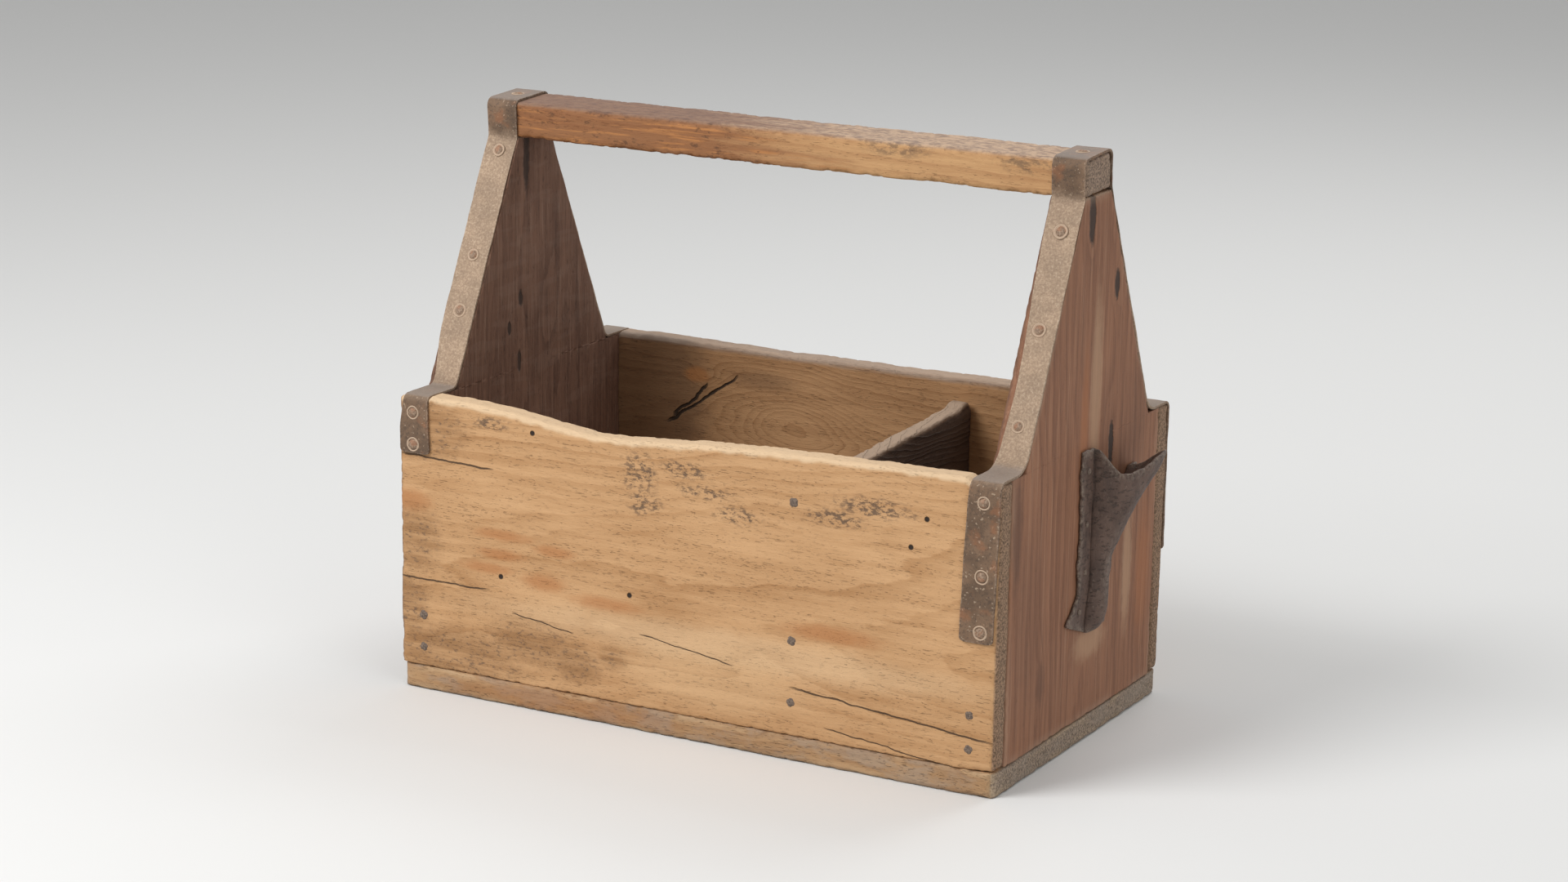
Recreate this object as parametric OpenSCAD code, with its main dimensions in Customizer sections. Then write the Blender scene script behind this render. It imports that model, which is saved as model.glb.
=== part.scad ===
// An old carpenter's tool tote in real size: five nailed boards, a bar handle held down at each
// end by one long bent iron strap, a divider board, and a leather tool sheath on the right end.
// +X is to the right, the front faces -Y, +Z is up, and the origin is the middle of the underside.

/* [Box] */
// Length over the two end boards
box_length = 500; // [420:5:620]
// Width over the front and back boards
box_width = 290; // [230:2:350]
// Height of the rim above the underside
rim_height = 228; // [180:2:275]
// Thickness of the bottom board
bottom_thick = 19; // [14:1:24]
// Thickness of the front and back boards
side_thick = 18; // [13:1:24]
// Thickness of the two end boards
end_thick = 27; // [26:1:33]
// How far the rim stands above the seats cut in it for the straps
rim_stand = 2; // [0:0.5:3]
// Depth worn out of the front rim by years of reaching in
front_wear = 11; // [0:1:14]
// Depth worn out of the back rim
back_wear = 1; // [0:1:8]
// Radius of the eased outer edge of the rim
rim_round = 4; // [2:0.5:7]
// Radius of the worn corners of the bottom board
bottom_round = 7; // [2:1:14]

/* [Gables] */
// Height of the flat top that the handle rests on
gable_height = 409; // [340:1:492]
// Distance from the outer face in to the foot of the gable's slope
shoulder_inset = 38; // [30:1:50]

/* [Handle] */
// Depth of the bar from front to back, and of the gable's flat top under it
handle_depth = 44; // [32:1:54]
// Height of the bar
handle_height = 27.5; // [20:0.5:36]
// Radius of the bar's long edges
handle_round = 5; // [2:0.5:9]

/* [Straps] */
// Width of the hoop iron
strap_width = 26; // [18:1:26]
// Thickness of the hoop iron
strap_thick = 2; // [1.2:0.1:3]
// How much narrower the hand-cut iron is at its waist
strap_waist = 5; // [0:0.5:8]
// Length of the left strap's legs below the rim
left_leg = 43; // [30:1:120]
// Length of the right strap's legs below the rim
right_leg = 115; // [30:1:130]
// Inner radius of the bend at the foot of the left strap's slope
left_foot_radius = 9; // [6:1:24]
// Inner radius of the bend at the foot of the right strap's slope
right_foot_radius = 22; // [6:1:26]
// Radius of the corners at the ends of the legs
leg_corner = 3; // [1:0.5:8]
// Height of the left strap's waist, which is on its outer edge, as a share of the slope
left_waist_place = 0.03; // [0:0.01:1]
// Height of the right strap's waist, which is on its inner edge, as a share of the slope
right_waist_place = 0.31; // [0:0.01:1]

/* [Divider] */
// Thickness of the divider board
divider_thick = 14; // [10:1:20]
// Distance of the divider's middle from the middle of the box
divider_place = 87.5; // [0:0.5:120]
// How far the divider's top edge is below the rim, at the front
divider_drop = 27; // [19:1:108]
// How much higher the top edge is at the back
divider_rise = 9; // [0:1:12]
// Radius of the divider's worn top corner at the back
divider_corner = 6; // [3:1:12]

/* [Sheath] */
// Thickness of the leather
leather_thick = 3; // [2:0.5:4]
// Height of the sheath's lower edge above the underside
sheath_foot = 86; // [60:2:100]
// How far the sheath's mouth is below the rim
mouth_drop = 24; // [16:2:38]
// Sideways place of the seam on the left of the pocket
sheath_seam = 3; // [-30:1:20]
// How far the seam leans to the left at the foot
seam_lean = 6; // [0:1:10]
// Inside width of the lower pocket
pocket_width = 18; // [14:1:30]
// Inside depth of the lower pocket, out from the board
pocket_depth = 10; // [8:1:16]
// Inside width of the mouth
mouth_width = 70; // [40:1:80]
// Inside depth of the mouth, out from the board
mouth_depth = 28; // [18:1:34]
// Width of the flap that is tacked down on the left of the pocket
left_flap = 19; // [14:1:24]
// Width of the flap that is tacked down on the right of the pocket
right_flap = 12; // [10:1:18]

/* [Nails] */
// Diameter of a nail's shank
nail_shank = 2.6; // [2:0.1:3.4]
// Diameter of a nail's head
nail_head = 7; // [5:0.5:9]
// Thickness of a nail's head
head_thick = 1.2; // [0.8:0.1:2]
// Diameter of a tack's shank
tack_shank = 1.6; // [1.2:0.1:2]
// Diameter of a tack's head
tack_head = 5; // [4:0.5:7]
// Clearance round a shank in its hole
hole_clearance = 0.1; // [0.05:0.05:0.3]
// Clearance under a piece that lies on a surface
seat_clearance = 0.05; // [0.02:0.01:0.2]

/* [Hidden] */
$fn = 48;

front_face = -box_width / 2;
back_face = box_width / 2;
right_face = box_length / 2;
inner_width = box_width - 2 * side_thick;
handle_top = gable_height + handle_height;
divider_height = rim_height - divider_drop;
sheath_mouth = rim_height - mouth_drop;
slope_foot = box_width / 2 - shoulder_inset;
slope_head = handle_depth / 2;
slope_rise = gable_height - rim_height;
slope_tilt = atan2(slope_rise, slope_foot - slope_head);
strap_middle = right_face - strap_width / 2;
strap_lift = seat_clearance + strap_thick;
seat_end = right_face - strap_width - 0.5;
bend_step = 9;
outline_steps = 28;

// Where the front rim is worn deepest, and how wide the dip is on each side of that place
wear_place = -0.15 * box_length;
wear_reach_left = 0.14 * box_length;
wear_reach_right = 0.2 * box_length;
wear_steps = 12;

wood_nail = 40;
slope_nail = 22;
top_nail = 34;
under_nail = 45;
tack_length = 12;

// Places of the nails: heights are above the underside, the rest along the box
corner_nail_heights = [0.15 * rim_height, 0.26 * rim_height];
divider_nail_heights = [0.22 * divider_height, 0.45 * divider_height, 0.96 * divider_height];
left_leg_nails = [0.27, 0.84];
right_leg_nails = [0.12, 0.58, 0.93];
left_slope_nails = [0.3, 0.52, 0.94];
right_slope_nails = [0.16, 0.51, 0.87];
under_nail_places = [-0.4, -0.14, 0.14, 0.4];
flap_tack_places = [0.1, 0.36, 0.63, 0.9];

function unit(v) = v / norm(v);
function left_of(d) = [-d[1], d[0]];
function turned(v, a) = [v[0] * cos(a) - v[1] * sin(a), v[0] * sin(a) + v[1] * cos(a)];
function smooth(t) = let(u = min(1, max(0, t))) u * u * (3 - 2 * u);

// A dip that is deepest at the given place and fades out on both sides, zero at the reach's ends
function dip(x, place, limit, reach) =
    let(here = 1 / (1 + pow((x - place) / reach, 2)), edge = 1 / (1 + pow((limit - place) / reach, 2)))
    max(0, (here - edge) / (1 - edge));

function rim_wear(x, depth) =
    x < wear_place
        ? depth * dip(x, wear_place, -seat_end, wear_reach_left)
        : depth * dip(x, wear_place, seat_end, wear_reach_right);

// A line round one corner of the wood: r is its radius on the wood's side, and off is how far
// outside the wood the line runs. A corner with no radius is mitred.
function corner(before, p, after, r, off) =
    let(d0 = unit(p - before), d1 = unit(after - p),
        a = atan2(d0[0] * d1[1] - d0[1] * d1[0], d0 * d1), s = sign(a),
        start = p - d0 * r * tan(abs(a) / 2),
        middle = start + left_of(d0) * s * r,
        steps = max(1, ceil(abs(a) / bend_step)))
    r == 0
        ? [p + unit(left_of(d0) + left_of(d1)) * off / cos(a / 2)]
        : [for (k = [0:steps]) middle - (r - s * off) * s * turned(left_of(d0), a * k / steps)];

// The wood's outline under a strap, from the front leg's end over the handle to the back leg's end
function strap_corners(leg, foot_radius) = [
    [front_face, rim_height - leg, 0],
    [front_face, rim_height, rim_round],
    [-slope_foot, rim_height, foot_radius],
    [-slope_head, gable_height, 0],
    [-slope_head, handle_top, handle_round],
    [slope_head, handle_top, handle_round],
    [slope_head, gable_height, 0],
    [slope_foot, rim_height, foot_radius],
    [back_face, rim_height, rim_round],
    [back_face, rim_height - leg, 0]
];

function strap_line(leg, foot_radius, off) =
    let(c = strap_corners(leg, foot_radius), last = len(c) - 1, out = [off, 0],
        p = [for (k = c) [k[0], k[1]]])
    concat([p[0] - out],
        [for (k = [1:last - 1]) each corner(p[k - 1], p[k], p[k + 1], c[k][2], off)],
        [p[last] + out]);

function reversed(list) = [for (k = [len(list) - 1:-1:0]) list[k]];

// Turns a profile drawn across the box, y first and z second, into a body along X
module across(length) {
    rotate([90, 0, 90])
        linear_extrude(length) children();
}

// Turns an outline drawn along the box, x first and z second, into a board from y to y + thick
module along(y, thick) {
    translate([0, y + thick, 0])
        rotate([90, 0, 0])
            linear_extrude(thick) children();
}

module rounded_square(size, r) {
    square([size[0] - 2 * r, size[1]], center = true);
    square([size[0], size[1] - 2 * r], center = true);
    for (x = [-1, 1], y = [-1, 1])
        translate([x * (size[0] / 2 - r), y * (size[1] / 2 - r)]) circle(r);
}

// A nail whose head sits on z = 0 and whose shank goes down from there
module nail(length, shank = nail_shank, head = nail_head) {
    point = 2 * shank;
    cylinder(h = head_thick, d1 = head, d2 = 0.7 * head);
    translate([0, 0, point - length])
        cylinder(h = length - point, d = shank);
    translate([0, 0, -length])
        cylinder(h = point, d1 = 0.2 * shank, d2 = shank);
}

module nail_hole(length, shank = nail_shank) {
    translate([0, 0, -length - hole_clearance])
        cylinder(h = length + hole_clearance + 5, d = shank + 2 * hole_clearance);
}

// Frames that put z = 0 of a nail on a face of the box, with its head pointing out
module on_front(x, z, lift = 0) {
    translate([x, front_face - lift, z]) rotate([90, 0, 0]) children();
}

module on_back(x, z, lift = 0) {
    mirror([0, 1, 0]) on_front(x, z, lift) children();
}

module on_slope(x, share, side) {
    mirror([0, side > 0 ? 1 : 0, 0])
        translate([x, -slope_foot + share * (slope_foot - slope_head), rim_height + share * slope_rise])
            rotate([slope_tilt, 0, 0])
                translate([0, 0, strap_lift]) children();
}

module on_top(x) {
    translate([x, 0, handle_top + strap_lift]) children();
}

module on_right_end(y, z) {
    translate([right_face + seat_clearance + leather_thick, y, z]) rotate([0, 90, 0]) children();
}

module at_corner_nails(front) {
    for (end = [-1, 1], z = corner_nail_heights) {
        x = end * (right_face - 0.75 * end_thick);
        if (front)
            on_front(x, z) children();
        else
            on_back(x, z) children();
    }
}

module at_divider_nails(front) {
    for (z = divider_nail_heights)
        if (front)
            on_front(divider_place, z) children();
        else
            on_back(divider_place, z) children();
}

// The straps' nails are set out in three kinds: in the legs, up the slopes and on the handle
module at_leg_nails(x, leg, shares) {
    for (share = shares) {
        on_front(x, rim_height - share * leg, strap_lift) children();
        on_back(x, rim_height - share * leg, strap_lift) children();
    }
}

module at_slope_nails(x, shares) {
    for (share = shares, side = [-1, 1])
        on_slope(x, share, side) children();
}

module at_bottom_nails() {
    for (share = under_nail_places, side = [-1, 1])
        translate([share * box_length, side * (back_face - side_thick / 2), 0])
            rotate([180, 0, 0]) children();
    for (end = [-1, 1], share = [-0.28, 0, 0.28])
        translate([end * (right_face - end_thick / 2), share * box_width, 0])
            rotate([180, 0, 0]) children();
}

module left_strap_nail_bodies(hole) {
    at_leg_nails(-strap_middle, left_leg, left_leg_nails) nail_or_hole(wood_nail, hole);
    at_slope_nails(-strap_middle, left_slope_nails) nail_or_hole(slope_nail, hole);
    on_top(-strap_middle) nail_or_hole(top_nail, hole);
}

module right_strap_nail_bodies(hole) {
    at_leg_nails(strap_middle, right_leg, right_leg_nails) nail_or_hole(wood_nail, hole);
    at_slope_nails(strap_middle, right_slope_nails) nail_or_hole(slope_nail, hole);
    on_top(strap_middle) nail_or_hole(top_nail, hole);
}

module nail_or_hole(length, hole) {
    if (hole)
        nail_hole(length);
    else
        nail(length);
}

module bottom_board() {
    color("#8a6a48")
    difference() {
        linear_extrude(bottom_thick)
            rounded_square([box_length, box_width], bottom_round);
        at_bottom_nails() {
            nail_hole(under_nail);
            translate([0, 0, -head_thick - 0.4])
                cylinder(h = head_thick + 2, d = nail_head + 2 * hole_clearance);
        }
    }
}

// A side board: seats for the straps at its ends, and between them a rim that is worn in the middle
module side_board(depth) {
    worn_rim = [for (k = [0:2 * wear_steps])
        let(x = seat_end * (k / wear_steps - 1))
        [x, rim_height + rim_stand - rim_wear(x, depth)]];
    intersection() {
        along(front_face, side_thick)
            polygon(concat(
                [[-right_face, bottom_thick], [-right_face, rim_height], [-seat_end, rim_height]],
                worn_rim,
                [[seat_end, rim_height], [right_face, rim_height], [right_face, bottom_thick]]));
        translate([0, front_face, bottom_thick]) {
            for (end = [-1, 1])
                translate([end * (right_face + seat_end) / 2 - (right_face - seat_end) / 2, 0, 0])
                    across(right_face - seat_end) eased_edge(rim_height - bottom_thick);
            translate([-seat_end, 0, 0])
                across(2 * seat_end) eased_edge(rim_height + rim_stand - bottom_thick);
        }
    }
}

// A side board's section, with its outer top edge rounded
module eased_edge(height) {
    square([side_thick, height - rim_round]);
    translate([rim_round, 0]) square([side_thick - rim_round, height]);
    translate([rim_round, height - rim_round]) circle(rim_round);
}

module side_nail_holes(front) {
    at_corner_nails(front) nail_hole(wood_nail);
    at_divider_nails(front) nail_hole(wood_nail);
    at_bottom_nails() nail_hole(under_nail);
    left_strap_nail_bodies(true);
    right_strap_nail_bodies(true);
}

module front_board() {
    color("#c89a5c")
    difference() {
        side_board(front_wear);
        side_nail_holes(true);
    }
}

module back_board() {
    color("#b98a55")
    difference() {
        mirror([0, 1, 0]) side_board(back_wear);
        side_nail_holes(false);
    }
}

// An end board: square between the sides, with shoulders at the rim and two slopes up to a flat top
module end_board() {
    half = [
        [inner_width / 2, bottom_thick],
        [inner_width / 2, rim_height],
        [slope_foot, rim_height],
        [slope_head, gable_height]
    ];
    across(end_thick)
        polygon(concat(half, [for (p = reversed(half)) [-p[0], p[1]]]));
}

module end_nail_holes() {
    at_corner_nails(true) nail_hole(wood_nail);
    at_corner_nails(false) nail_hole(wood_nail);
    at_bottom_nails() nail_hole(under_nail);
    left_strap_nail_bodies(true);
    right_strap_nail_bodies(true);
}

module left_end_board() {
    color("#7d4a33")
    difference() {
        translate([-right_face, 0, 0]) end_board();
        end_nail_holes();
    }
}

module right_end_board() {
    color("#8f5a3c")
    difference() {
        translate([right_face - end_thick, 0, 0]) end_board();
        end_nail_holes();
        at_tacks() nail_hole(tack_length, tack_shank);
    }
}

module handle_bar() {
    color("#a07a52")
    difference() {
        translate([-right_face, 0, gable_height + handle_height / 2])
            across(box_length) rounded_square([handle_depth, handle_height], handle_round);
        on_top(-strap_middle) nail_hole(top_nail);
        on_top(strap_middle) nail_hole(top_nail);
    }
}

// A strap's outline from the front, where the outer edge is at +X and each waist is a smooth hollow
module strap_outline(leg, inner_waist, outer_waist, place, reach) {
    half = strap_width / 2;
    foot = rim_height - leg;
    top = handle_top + 10;
    start = foot + leg_corner;
    waist_height = rim_height + place * slope_rise;
    function hollow(z) = exp(-pow((z - waist_height) / reach, 2));
    heights = [for (k = [0:outline_steps]) start + (top - start) * k / outline_steps];
    polygon(concat(
        [for (a = [270:-30:210]) [leg_corner - half, start] + leg_corner * [cos(a), sin(a)]],
        [for (z = heights) [inner_waist * hollow(z) - half, z]],
        [for (z = reversed(heights)) [half - outer_waist * hollow(z), z]],
        [for (a = [330:-30:270]) [half - leg_corner, start] + leg_corner * [cos(a), sin(a)]]));
}

// One strap: a flat band bent up over the rim's shoulder, the slope and the handle, and down again
module strap(leg, foot_radius) {
    inside = strap_line(leg, foot_radius, seat_clearance);
    outside = strap_line(leg, foot_radius, strap_lift);
    intersection() {
        translate([-strap_width / 2 - 1, 0, 0])
            across(strap_width + 2)
                polygon(concat(inside, reversed(outside)));
        along(front_face - 10, box_width + 20) children();
    }
}

module left_strap() {
    color("#6b5f52")
    difference() {
        translate([-strap_middle, 0, 0])
            mirror([1, 0, 0])
                strap(left_leg, left_foot_radius)
                    strap_outline(left_leg, 0, strap_waist, left_waist_place, 0.12 * slope_rise);
        left_strap_nail_bodies(true);
    }
}

module right_strap() {
    color("#6b5f52")
    difference() {
        translate([strap_middle, 0, 0])
            strap(right_leg, right_foot_radius)
                strap_outline(right_leg, strap_waist, 0, right_waist_place, 0.33 * slope_rise);
        right_strap_nail_bodies(true);
    }
}

// The divider stands on the bottom board between the sides and is a little higher at the back
module divider() {
    reach = inner_width / 2 - seat_clearance;
    high = divider_height + divider_rise;
    color("#5d4a38")
    difference() {
        translate([divider_place - divider_thick / 2, 0, 0])
            across(divider_thick)
                difference() {
                    polygon([
                        [-reach, bottom_thick + seat_clearance],
                        [-reach, divider_height],
                        [0.85 * reach, high],
                        [0.9 * reach, high + 3],
                        [reach, high + 3],
                        [reach, bottom_thick + seat_clearance]
                    ]);
                    translate([reach - divider_corner, high + 3 - divider_corner])
                        difference() {
                            square(divider_corner + 1);
                            circle(divider_corner);
                        }
                }
        at_divider_nails(true) nail_hole(wood_nail);
        at_divider_nails(false) nail_hole(wood_nail);
    }
}

// The sheath's pocket: an oval half tube that opens into a wide mouth, shut flat at its foot
arc_columns = 16;
sheath_rings = 16;
flare_start = sheath_foot + 0.46 * (sheath_mouth - sheath_foot);
toe_height = 20;
flap_foot_lift = 12;

function flare(z) = max(0, (z - flare_start) / (sheath_mouth - flare_start));
function toe(z) = let(t = min(1, max(0, (z - sheath_foot) / toe_height))) sqrt(t * (2 - t));
function pocket_half(z) = (pocket_width + (mouth_width - pocket_width) * pow(flare(z), 1.15)) / 2;
function pocket_bulge(z) = toe(z) * (pocket_depth + (mouth_depth - pocket_depth) * flare(z));

// The mouth's free corner curls out and back, which the arc's angle and the height set
function ear(phi, z) = 0.16 * exp(-pow((phi - 128) / 24, 2)) * smooth((z - sheath_mouth + 30) / 24);

// The lip drops from the left flap's top into a sag, then rises to the curled corner on the right
function lip_height(phi) =
    sheath_mouth + 10 * exp(-pow((phi - 120) / 32, 2))
    + (phi < 90 ? 20 * pow(cos(phi), 10) : -8 * pow(cos(phi), 2));

// One point of the leather's outer (shell = leather_thick) or inner (shell = 0) face, where
// column 0 is the left flap's edge, the last column is the right flap's edge, and the rest is the arc
function sheath_point(column, share, shell) =
    let(phi = 180 * min(1, max(0, (column - 1) / arc_columns)),
        foot = sheath_foot + (column == 0 ? flap_foot_lift : 0),
        z = foot + (lip_height(phi) - foot) * pow(share, 1.25),
        half = pocket_half(z),
        middle = sheath_seam - seam_lean * (1 - smooth((z - sheath_foot) / 50)) + leather_thick + half,
        grow = 1 + ear(phi, z),
        spread = (half + shell) * grow,
        foot_flap = 20 * (1 - smooth((z - sheath_foot - 8) / 24)))
    column == 0
        ? [shell, sheath_seam - left_flap - foot_flap, z]
        : column == arc_columns + 2
            ? [shell, middle + half + leather_thick + right_flap, z]
            : [shell + pocket_bulge(z) * grow * sin(phi), middle - spread * cos(phi), z];

// A sheet with thickness, closed by strips along its four edges. Each face is a grid of triangles.
module thick_sheet(outer, inner) {
    rows = len(outer);
    cols = len(outer[0]);
    all = rows * cols;
    points = concat([for (r = outer) each r], [for (r = inner) each r]);
    function at(r, c) = r * cols + c;
    function quad(a, b, c, d) = [[a, b, c], [a, c, d]];
    faces = concat(
        [for (r = [0:rows - 2], c = [0:cols - 2])
            each quad(at(r, c), at(r + 1, c), at(r + 1, c + 1), at(r, c + 1))],
        [for (r = [0:rows - 2], c = [0:cols - 2])
            each quad(all + at(r, c), all + at(r, c + 1), all + at(r + 1, c + 1), all + at(r + 1, c))],
        [for (c = [0:cols - 2], r = [0])
            each quad(at(r, c), at(r, c + 1), all + at(r, c + 1), all + at(r, c))],
        [for (c = [0:cols - 2], r = [rows - 1])
            each quad(at(r, c + 1), at(r, c), all + at(r, c), all + at(r, c + 1))],
        [for (r = [0:rows - 2], c = [0])
            each quad(at(r + 1, c), at(r, c), all + at(r, c), all + at(r + 1, c))],
        [for (r = [0:rows - 2], c = [cols - 1])
            each quad(at(r, c), at(r + 1, c), all + at(r + 1, c), all + at(r, c))]);
    polyhedron(points, faces);
}

// The tacks stand along the middle of each flap
module at_tacks() {
    for (share = flap_tack_places) {
        left_edge = sheath_point(0, share, 0);
        left_seam = sheath_point(1, share, 0);
        right_seam = sheath_point(arc_columns + 1, share, 0);
        right_edge = sheath_point(arc_columns + 2, share, 0);
        on_right_end((left_edge[1] + left_seam[1] - leather_thick) / 2, left_edge[2]) children();
        on_right_end((right_edge[1] + right_seam[1] + leather_thick) / 2, right_edge[2]) children();
    }
}

module leather_sheath() {
    color("#3a2a22")
    difference() {
        translate([right_face + seat_clearance, 0, 0])
            thick_sheet(
                [for (r = [0:sheath_rings])
                    [for (c = [0:arc_columns + 2]) sheath_point(c, r / sheath_rings, leather_thick)]],
                [for (r = [0:sheath_rings])
                    [for (c = [0:arc_columns + 2]) sheath_point(c, r / sheath_rings, 0)]]);
        at_tacks() nail_hole(tack_length, tack_shank);
    }
}

module bottom_nails() {
    color("#3f3833")
    at_bottom_nails()
        translate([0, 0, -head_thick - 0.4]) nail(under_nail - head_thick - 0.4);
}

module front_corner_nails() {
    color("#3f3833")
    at_corner_nails(true) nail(wood_nail);
}

module back_corner_nails() {
    color("#3f3833")
    at_corner_nails(false) nail(wood_nail);
}

module front_divider_nails() {
    color("#3f3833")
    at_divider_nails(true) nail(wood_nail);
}

module back_divider_nails() {
    color("#3f3833")
    at_divider_nails(false) nail(wood_nail);
}

module left_strap_nails() {
    color("#3f3833")
    left_strap_nail_bodies(false);
}

module right_strap_nails() {
    color("#3f3833")
    right_strap_nail_bodies(false);
}

module sheath_tacks() {
    color("#3f3833")
    at_tacks() nail(tack_length, tack_shank, tack_head);
}

bottom_board();
front_board();
back_board();
left_end_board();
right_end_board();
handle_bar();
left_strap();
right_strap();
divider();
leather_sheath();
bottom_nails();
front_corner_nails();
back_corner_nails();
front_divider_nails();
back_divider_nails();
left_strap_nails();
right_strap_nails();
sheath_tacks();
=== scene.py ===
# %% [markdown]
# # An old wooden tool tote
#
# This notebook dresses a measured model of an old carpenter's tote: five nailed boards, a bar
# handle, two bent iron straps, a divider and a leather sheath. The measured model gives every
# size and place. What is made here is what makes the thing look a hundred years old: worn edges,
# grain, stains, rust and creased leather.

# %% Load the measured frame
import math

import bpy
import numpy as np
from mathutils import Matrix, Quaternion, Vector, noise


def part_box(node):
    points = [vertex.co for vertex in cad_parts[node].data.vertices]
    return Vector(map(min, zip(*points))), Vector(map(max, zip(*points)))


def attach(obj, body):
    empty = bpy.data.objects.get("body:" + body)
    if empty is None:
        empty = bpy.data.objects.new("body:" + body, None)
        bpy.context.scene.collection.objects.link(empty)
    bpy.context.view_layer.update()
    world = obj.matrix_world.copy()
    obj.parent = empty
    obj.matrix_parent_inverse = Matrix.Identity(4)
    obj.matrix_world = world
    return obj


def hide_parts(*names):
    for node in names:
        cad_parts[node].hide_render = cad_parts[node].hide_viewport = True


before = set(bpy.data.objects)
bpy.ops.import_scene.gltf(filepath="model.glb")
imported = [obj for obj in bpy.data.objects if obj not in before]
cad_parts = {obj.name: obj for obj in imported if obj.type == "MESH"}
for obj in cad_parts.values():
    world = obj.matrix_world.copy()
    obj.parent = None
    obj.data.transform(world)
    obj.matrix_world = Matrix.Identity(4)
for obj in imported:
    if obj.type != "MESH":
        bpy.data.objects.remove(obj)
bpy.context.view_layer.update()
MM = 0.001


def stand_in(piece, node):
    """Shows a piece in place of a node of the frame, attached to the root body."""
    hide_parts(node)
    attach(piece, "root")


print("pieces in the frame:", len(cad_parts))

# %% [markdown]
# ## Sizes
#
# All sizes below are in millimetres and come from the frame's pieces, so a change in the measured
# model carries through. Only a few, such as how deep the rim is worn, are written here again.

# %% Read the main sizes from the frame
def span(node):
    """The lowest and the highest corner of one piece of the frame, in millimetres."""
    low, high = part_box(node)
    return np.array(low) / MM, np.array(high) / MM


def corners_at(node, height):
    """The sideways places of a piece's corner points at one height."""
    points = np.array([v.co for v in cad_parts[node].data.vertices]) / MM
    level = points[np.abs(points[:, 2] - height) < 0.05]
    return np.unique(np.round(np.abs(level[:, 1]), 1))


FRONT_LOW, FRONT_HIGH = span("front_board")
GABLE_LOW, GABLE_HIGH = span("right_end_board")
BAR_LOW, BAR_HIGH = span("handle_bar")
DIVIDER_LOW, DIVIDER_HIGH = span("divider")
STRAP_LOW, STRAP_HIGH = span("right_strap")
LEFT_STRAP_LOW = span("left_strap")[0]
HALF_LENGTH = FRONT_HIGH[0]
HALF_WIDTH = -FRONT_LOW[1]
FLOOR_TOP = FRONT_LOW[2]
RIM_STAND = 2.0
RIM = FRONT_HIGH[2] - RIM_STAND
SIDE_THICK = FRONT_HIGH[1] - FRONT_LOW[1]
END_THICK = GABLE_HIGH[0] - GABLE_LOW[0]
GABLE_TOP = GABLE_HIGH[2]
INNER_HALF = GABLE_HIGH[1]
SLOPE_FOOT = min(y for y in corners_at("right_end_board", RIM) if y > BAR_HIGH[1])
SLOPE_HEAD = BAR_HIGH[1]
BAR_TOP = BAR_HIGH[2]
STRAP_WIDTH = STRAP_HIGH[0] - STRAP_LOW[0]
STRAP_THICK = 2.0
STRAP_MIDDLE = (STRAP_HIGH[0] + STRAP_LOW[0]) / 2
SEAT_END = STRAP_LOW[0] - 0.5
print("half length", HALF_LENGTH, "half width", HALF_WIDTH, "rim", round(RIM, 2))
print("slope from", SLOPE_FOOT, "to", SLOPE_HEAD, "gable top", GABLE_TOP, "bar top", BAR_TOP)

# %% [markdown]
# ## Camera, floor and light
#
# The camera stands where the photographer stood: a little to the right of the front and above the
# rim, far away with a long lens. A plain pale floor and large soft lamps show the shapes without
# hard shadows. The main lamp is at the front left, so the right end of the box is the darker one.

# %% Set the camera at the photograph's place
AIM = Vector((0.0, -0.8, 195.5)) * MM
AZIMUTH, ELEVATION, ROLL = (math.radians(a) for a in (28.63, 14.08, 0.95))
CAMERA_DISTANCE = 2.722
FOCAL_PIXELS = 4425.06
PHOTO_WIDTH = 1920


def direction(azimuth, elevation):
    """A unit vector that points from the box to a place round it; azimuth 0 is the front."""
    level = math.cos(elevation)
    return Vector((math.sin(azimuth) * level, -math.cos(azimuth) * level, math.sin(elevation)))


scene = bpy.context.scene
camera = bpy.data.objects.new("camera", bpy.data.cameras.new("camera"))
scene.collection.objects.link(camera)
toward = direction(AZIMUTH, ELEVATION)
camera.rotation_mode = "QUATERNION"
camera.location = AIM + toward * CAMERA_DISTANCE
camera.rotation_quaternion = (-toward).to_track_quat("-Z", "Y") @ Quaternion((0, 0, 1), ROLL)
camera.data.sensor_width = 36
camera.data.lens = FOCAL_PIXELS * camera.data.sensor_width / PHOTO_WIDTH
camera.data.clip_end = 50
scene.camera = camera
scene.view_settings.view_transform = "Standard"
print("camera at", [round(c, 3) for c in camera.location], "lens", round(camera.data.lens, 2))

# %% [markdown]
# ## Patterns written as formulas
#
# A material in Blender is a web of nodes. Wiring each node by hand hides the idea behind it, so
# two small classes let a pattern be written as an ordinary formula. `Value` stands for one output
# of a node, and `a + b * 2` on it adds the Math nodes. `Bench` is the tree being filled. The same
# two classes serve Geometry Nodes, which use the same Math, Noise and Mix nodes.

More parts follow.
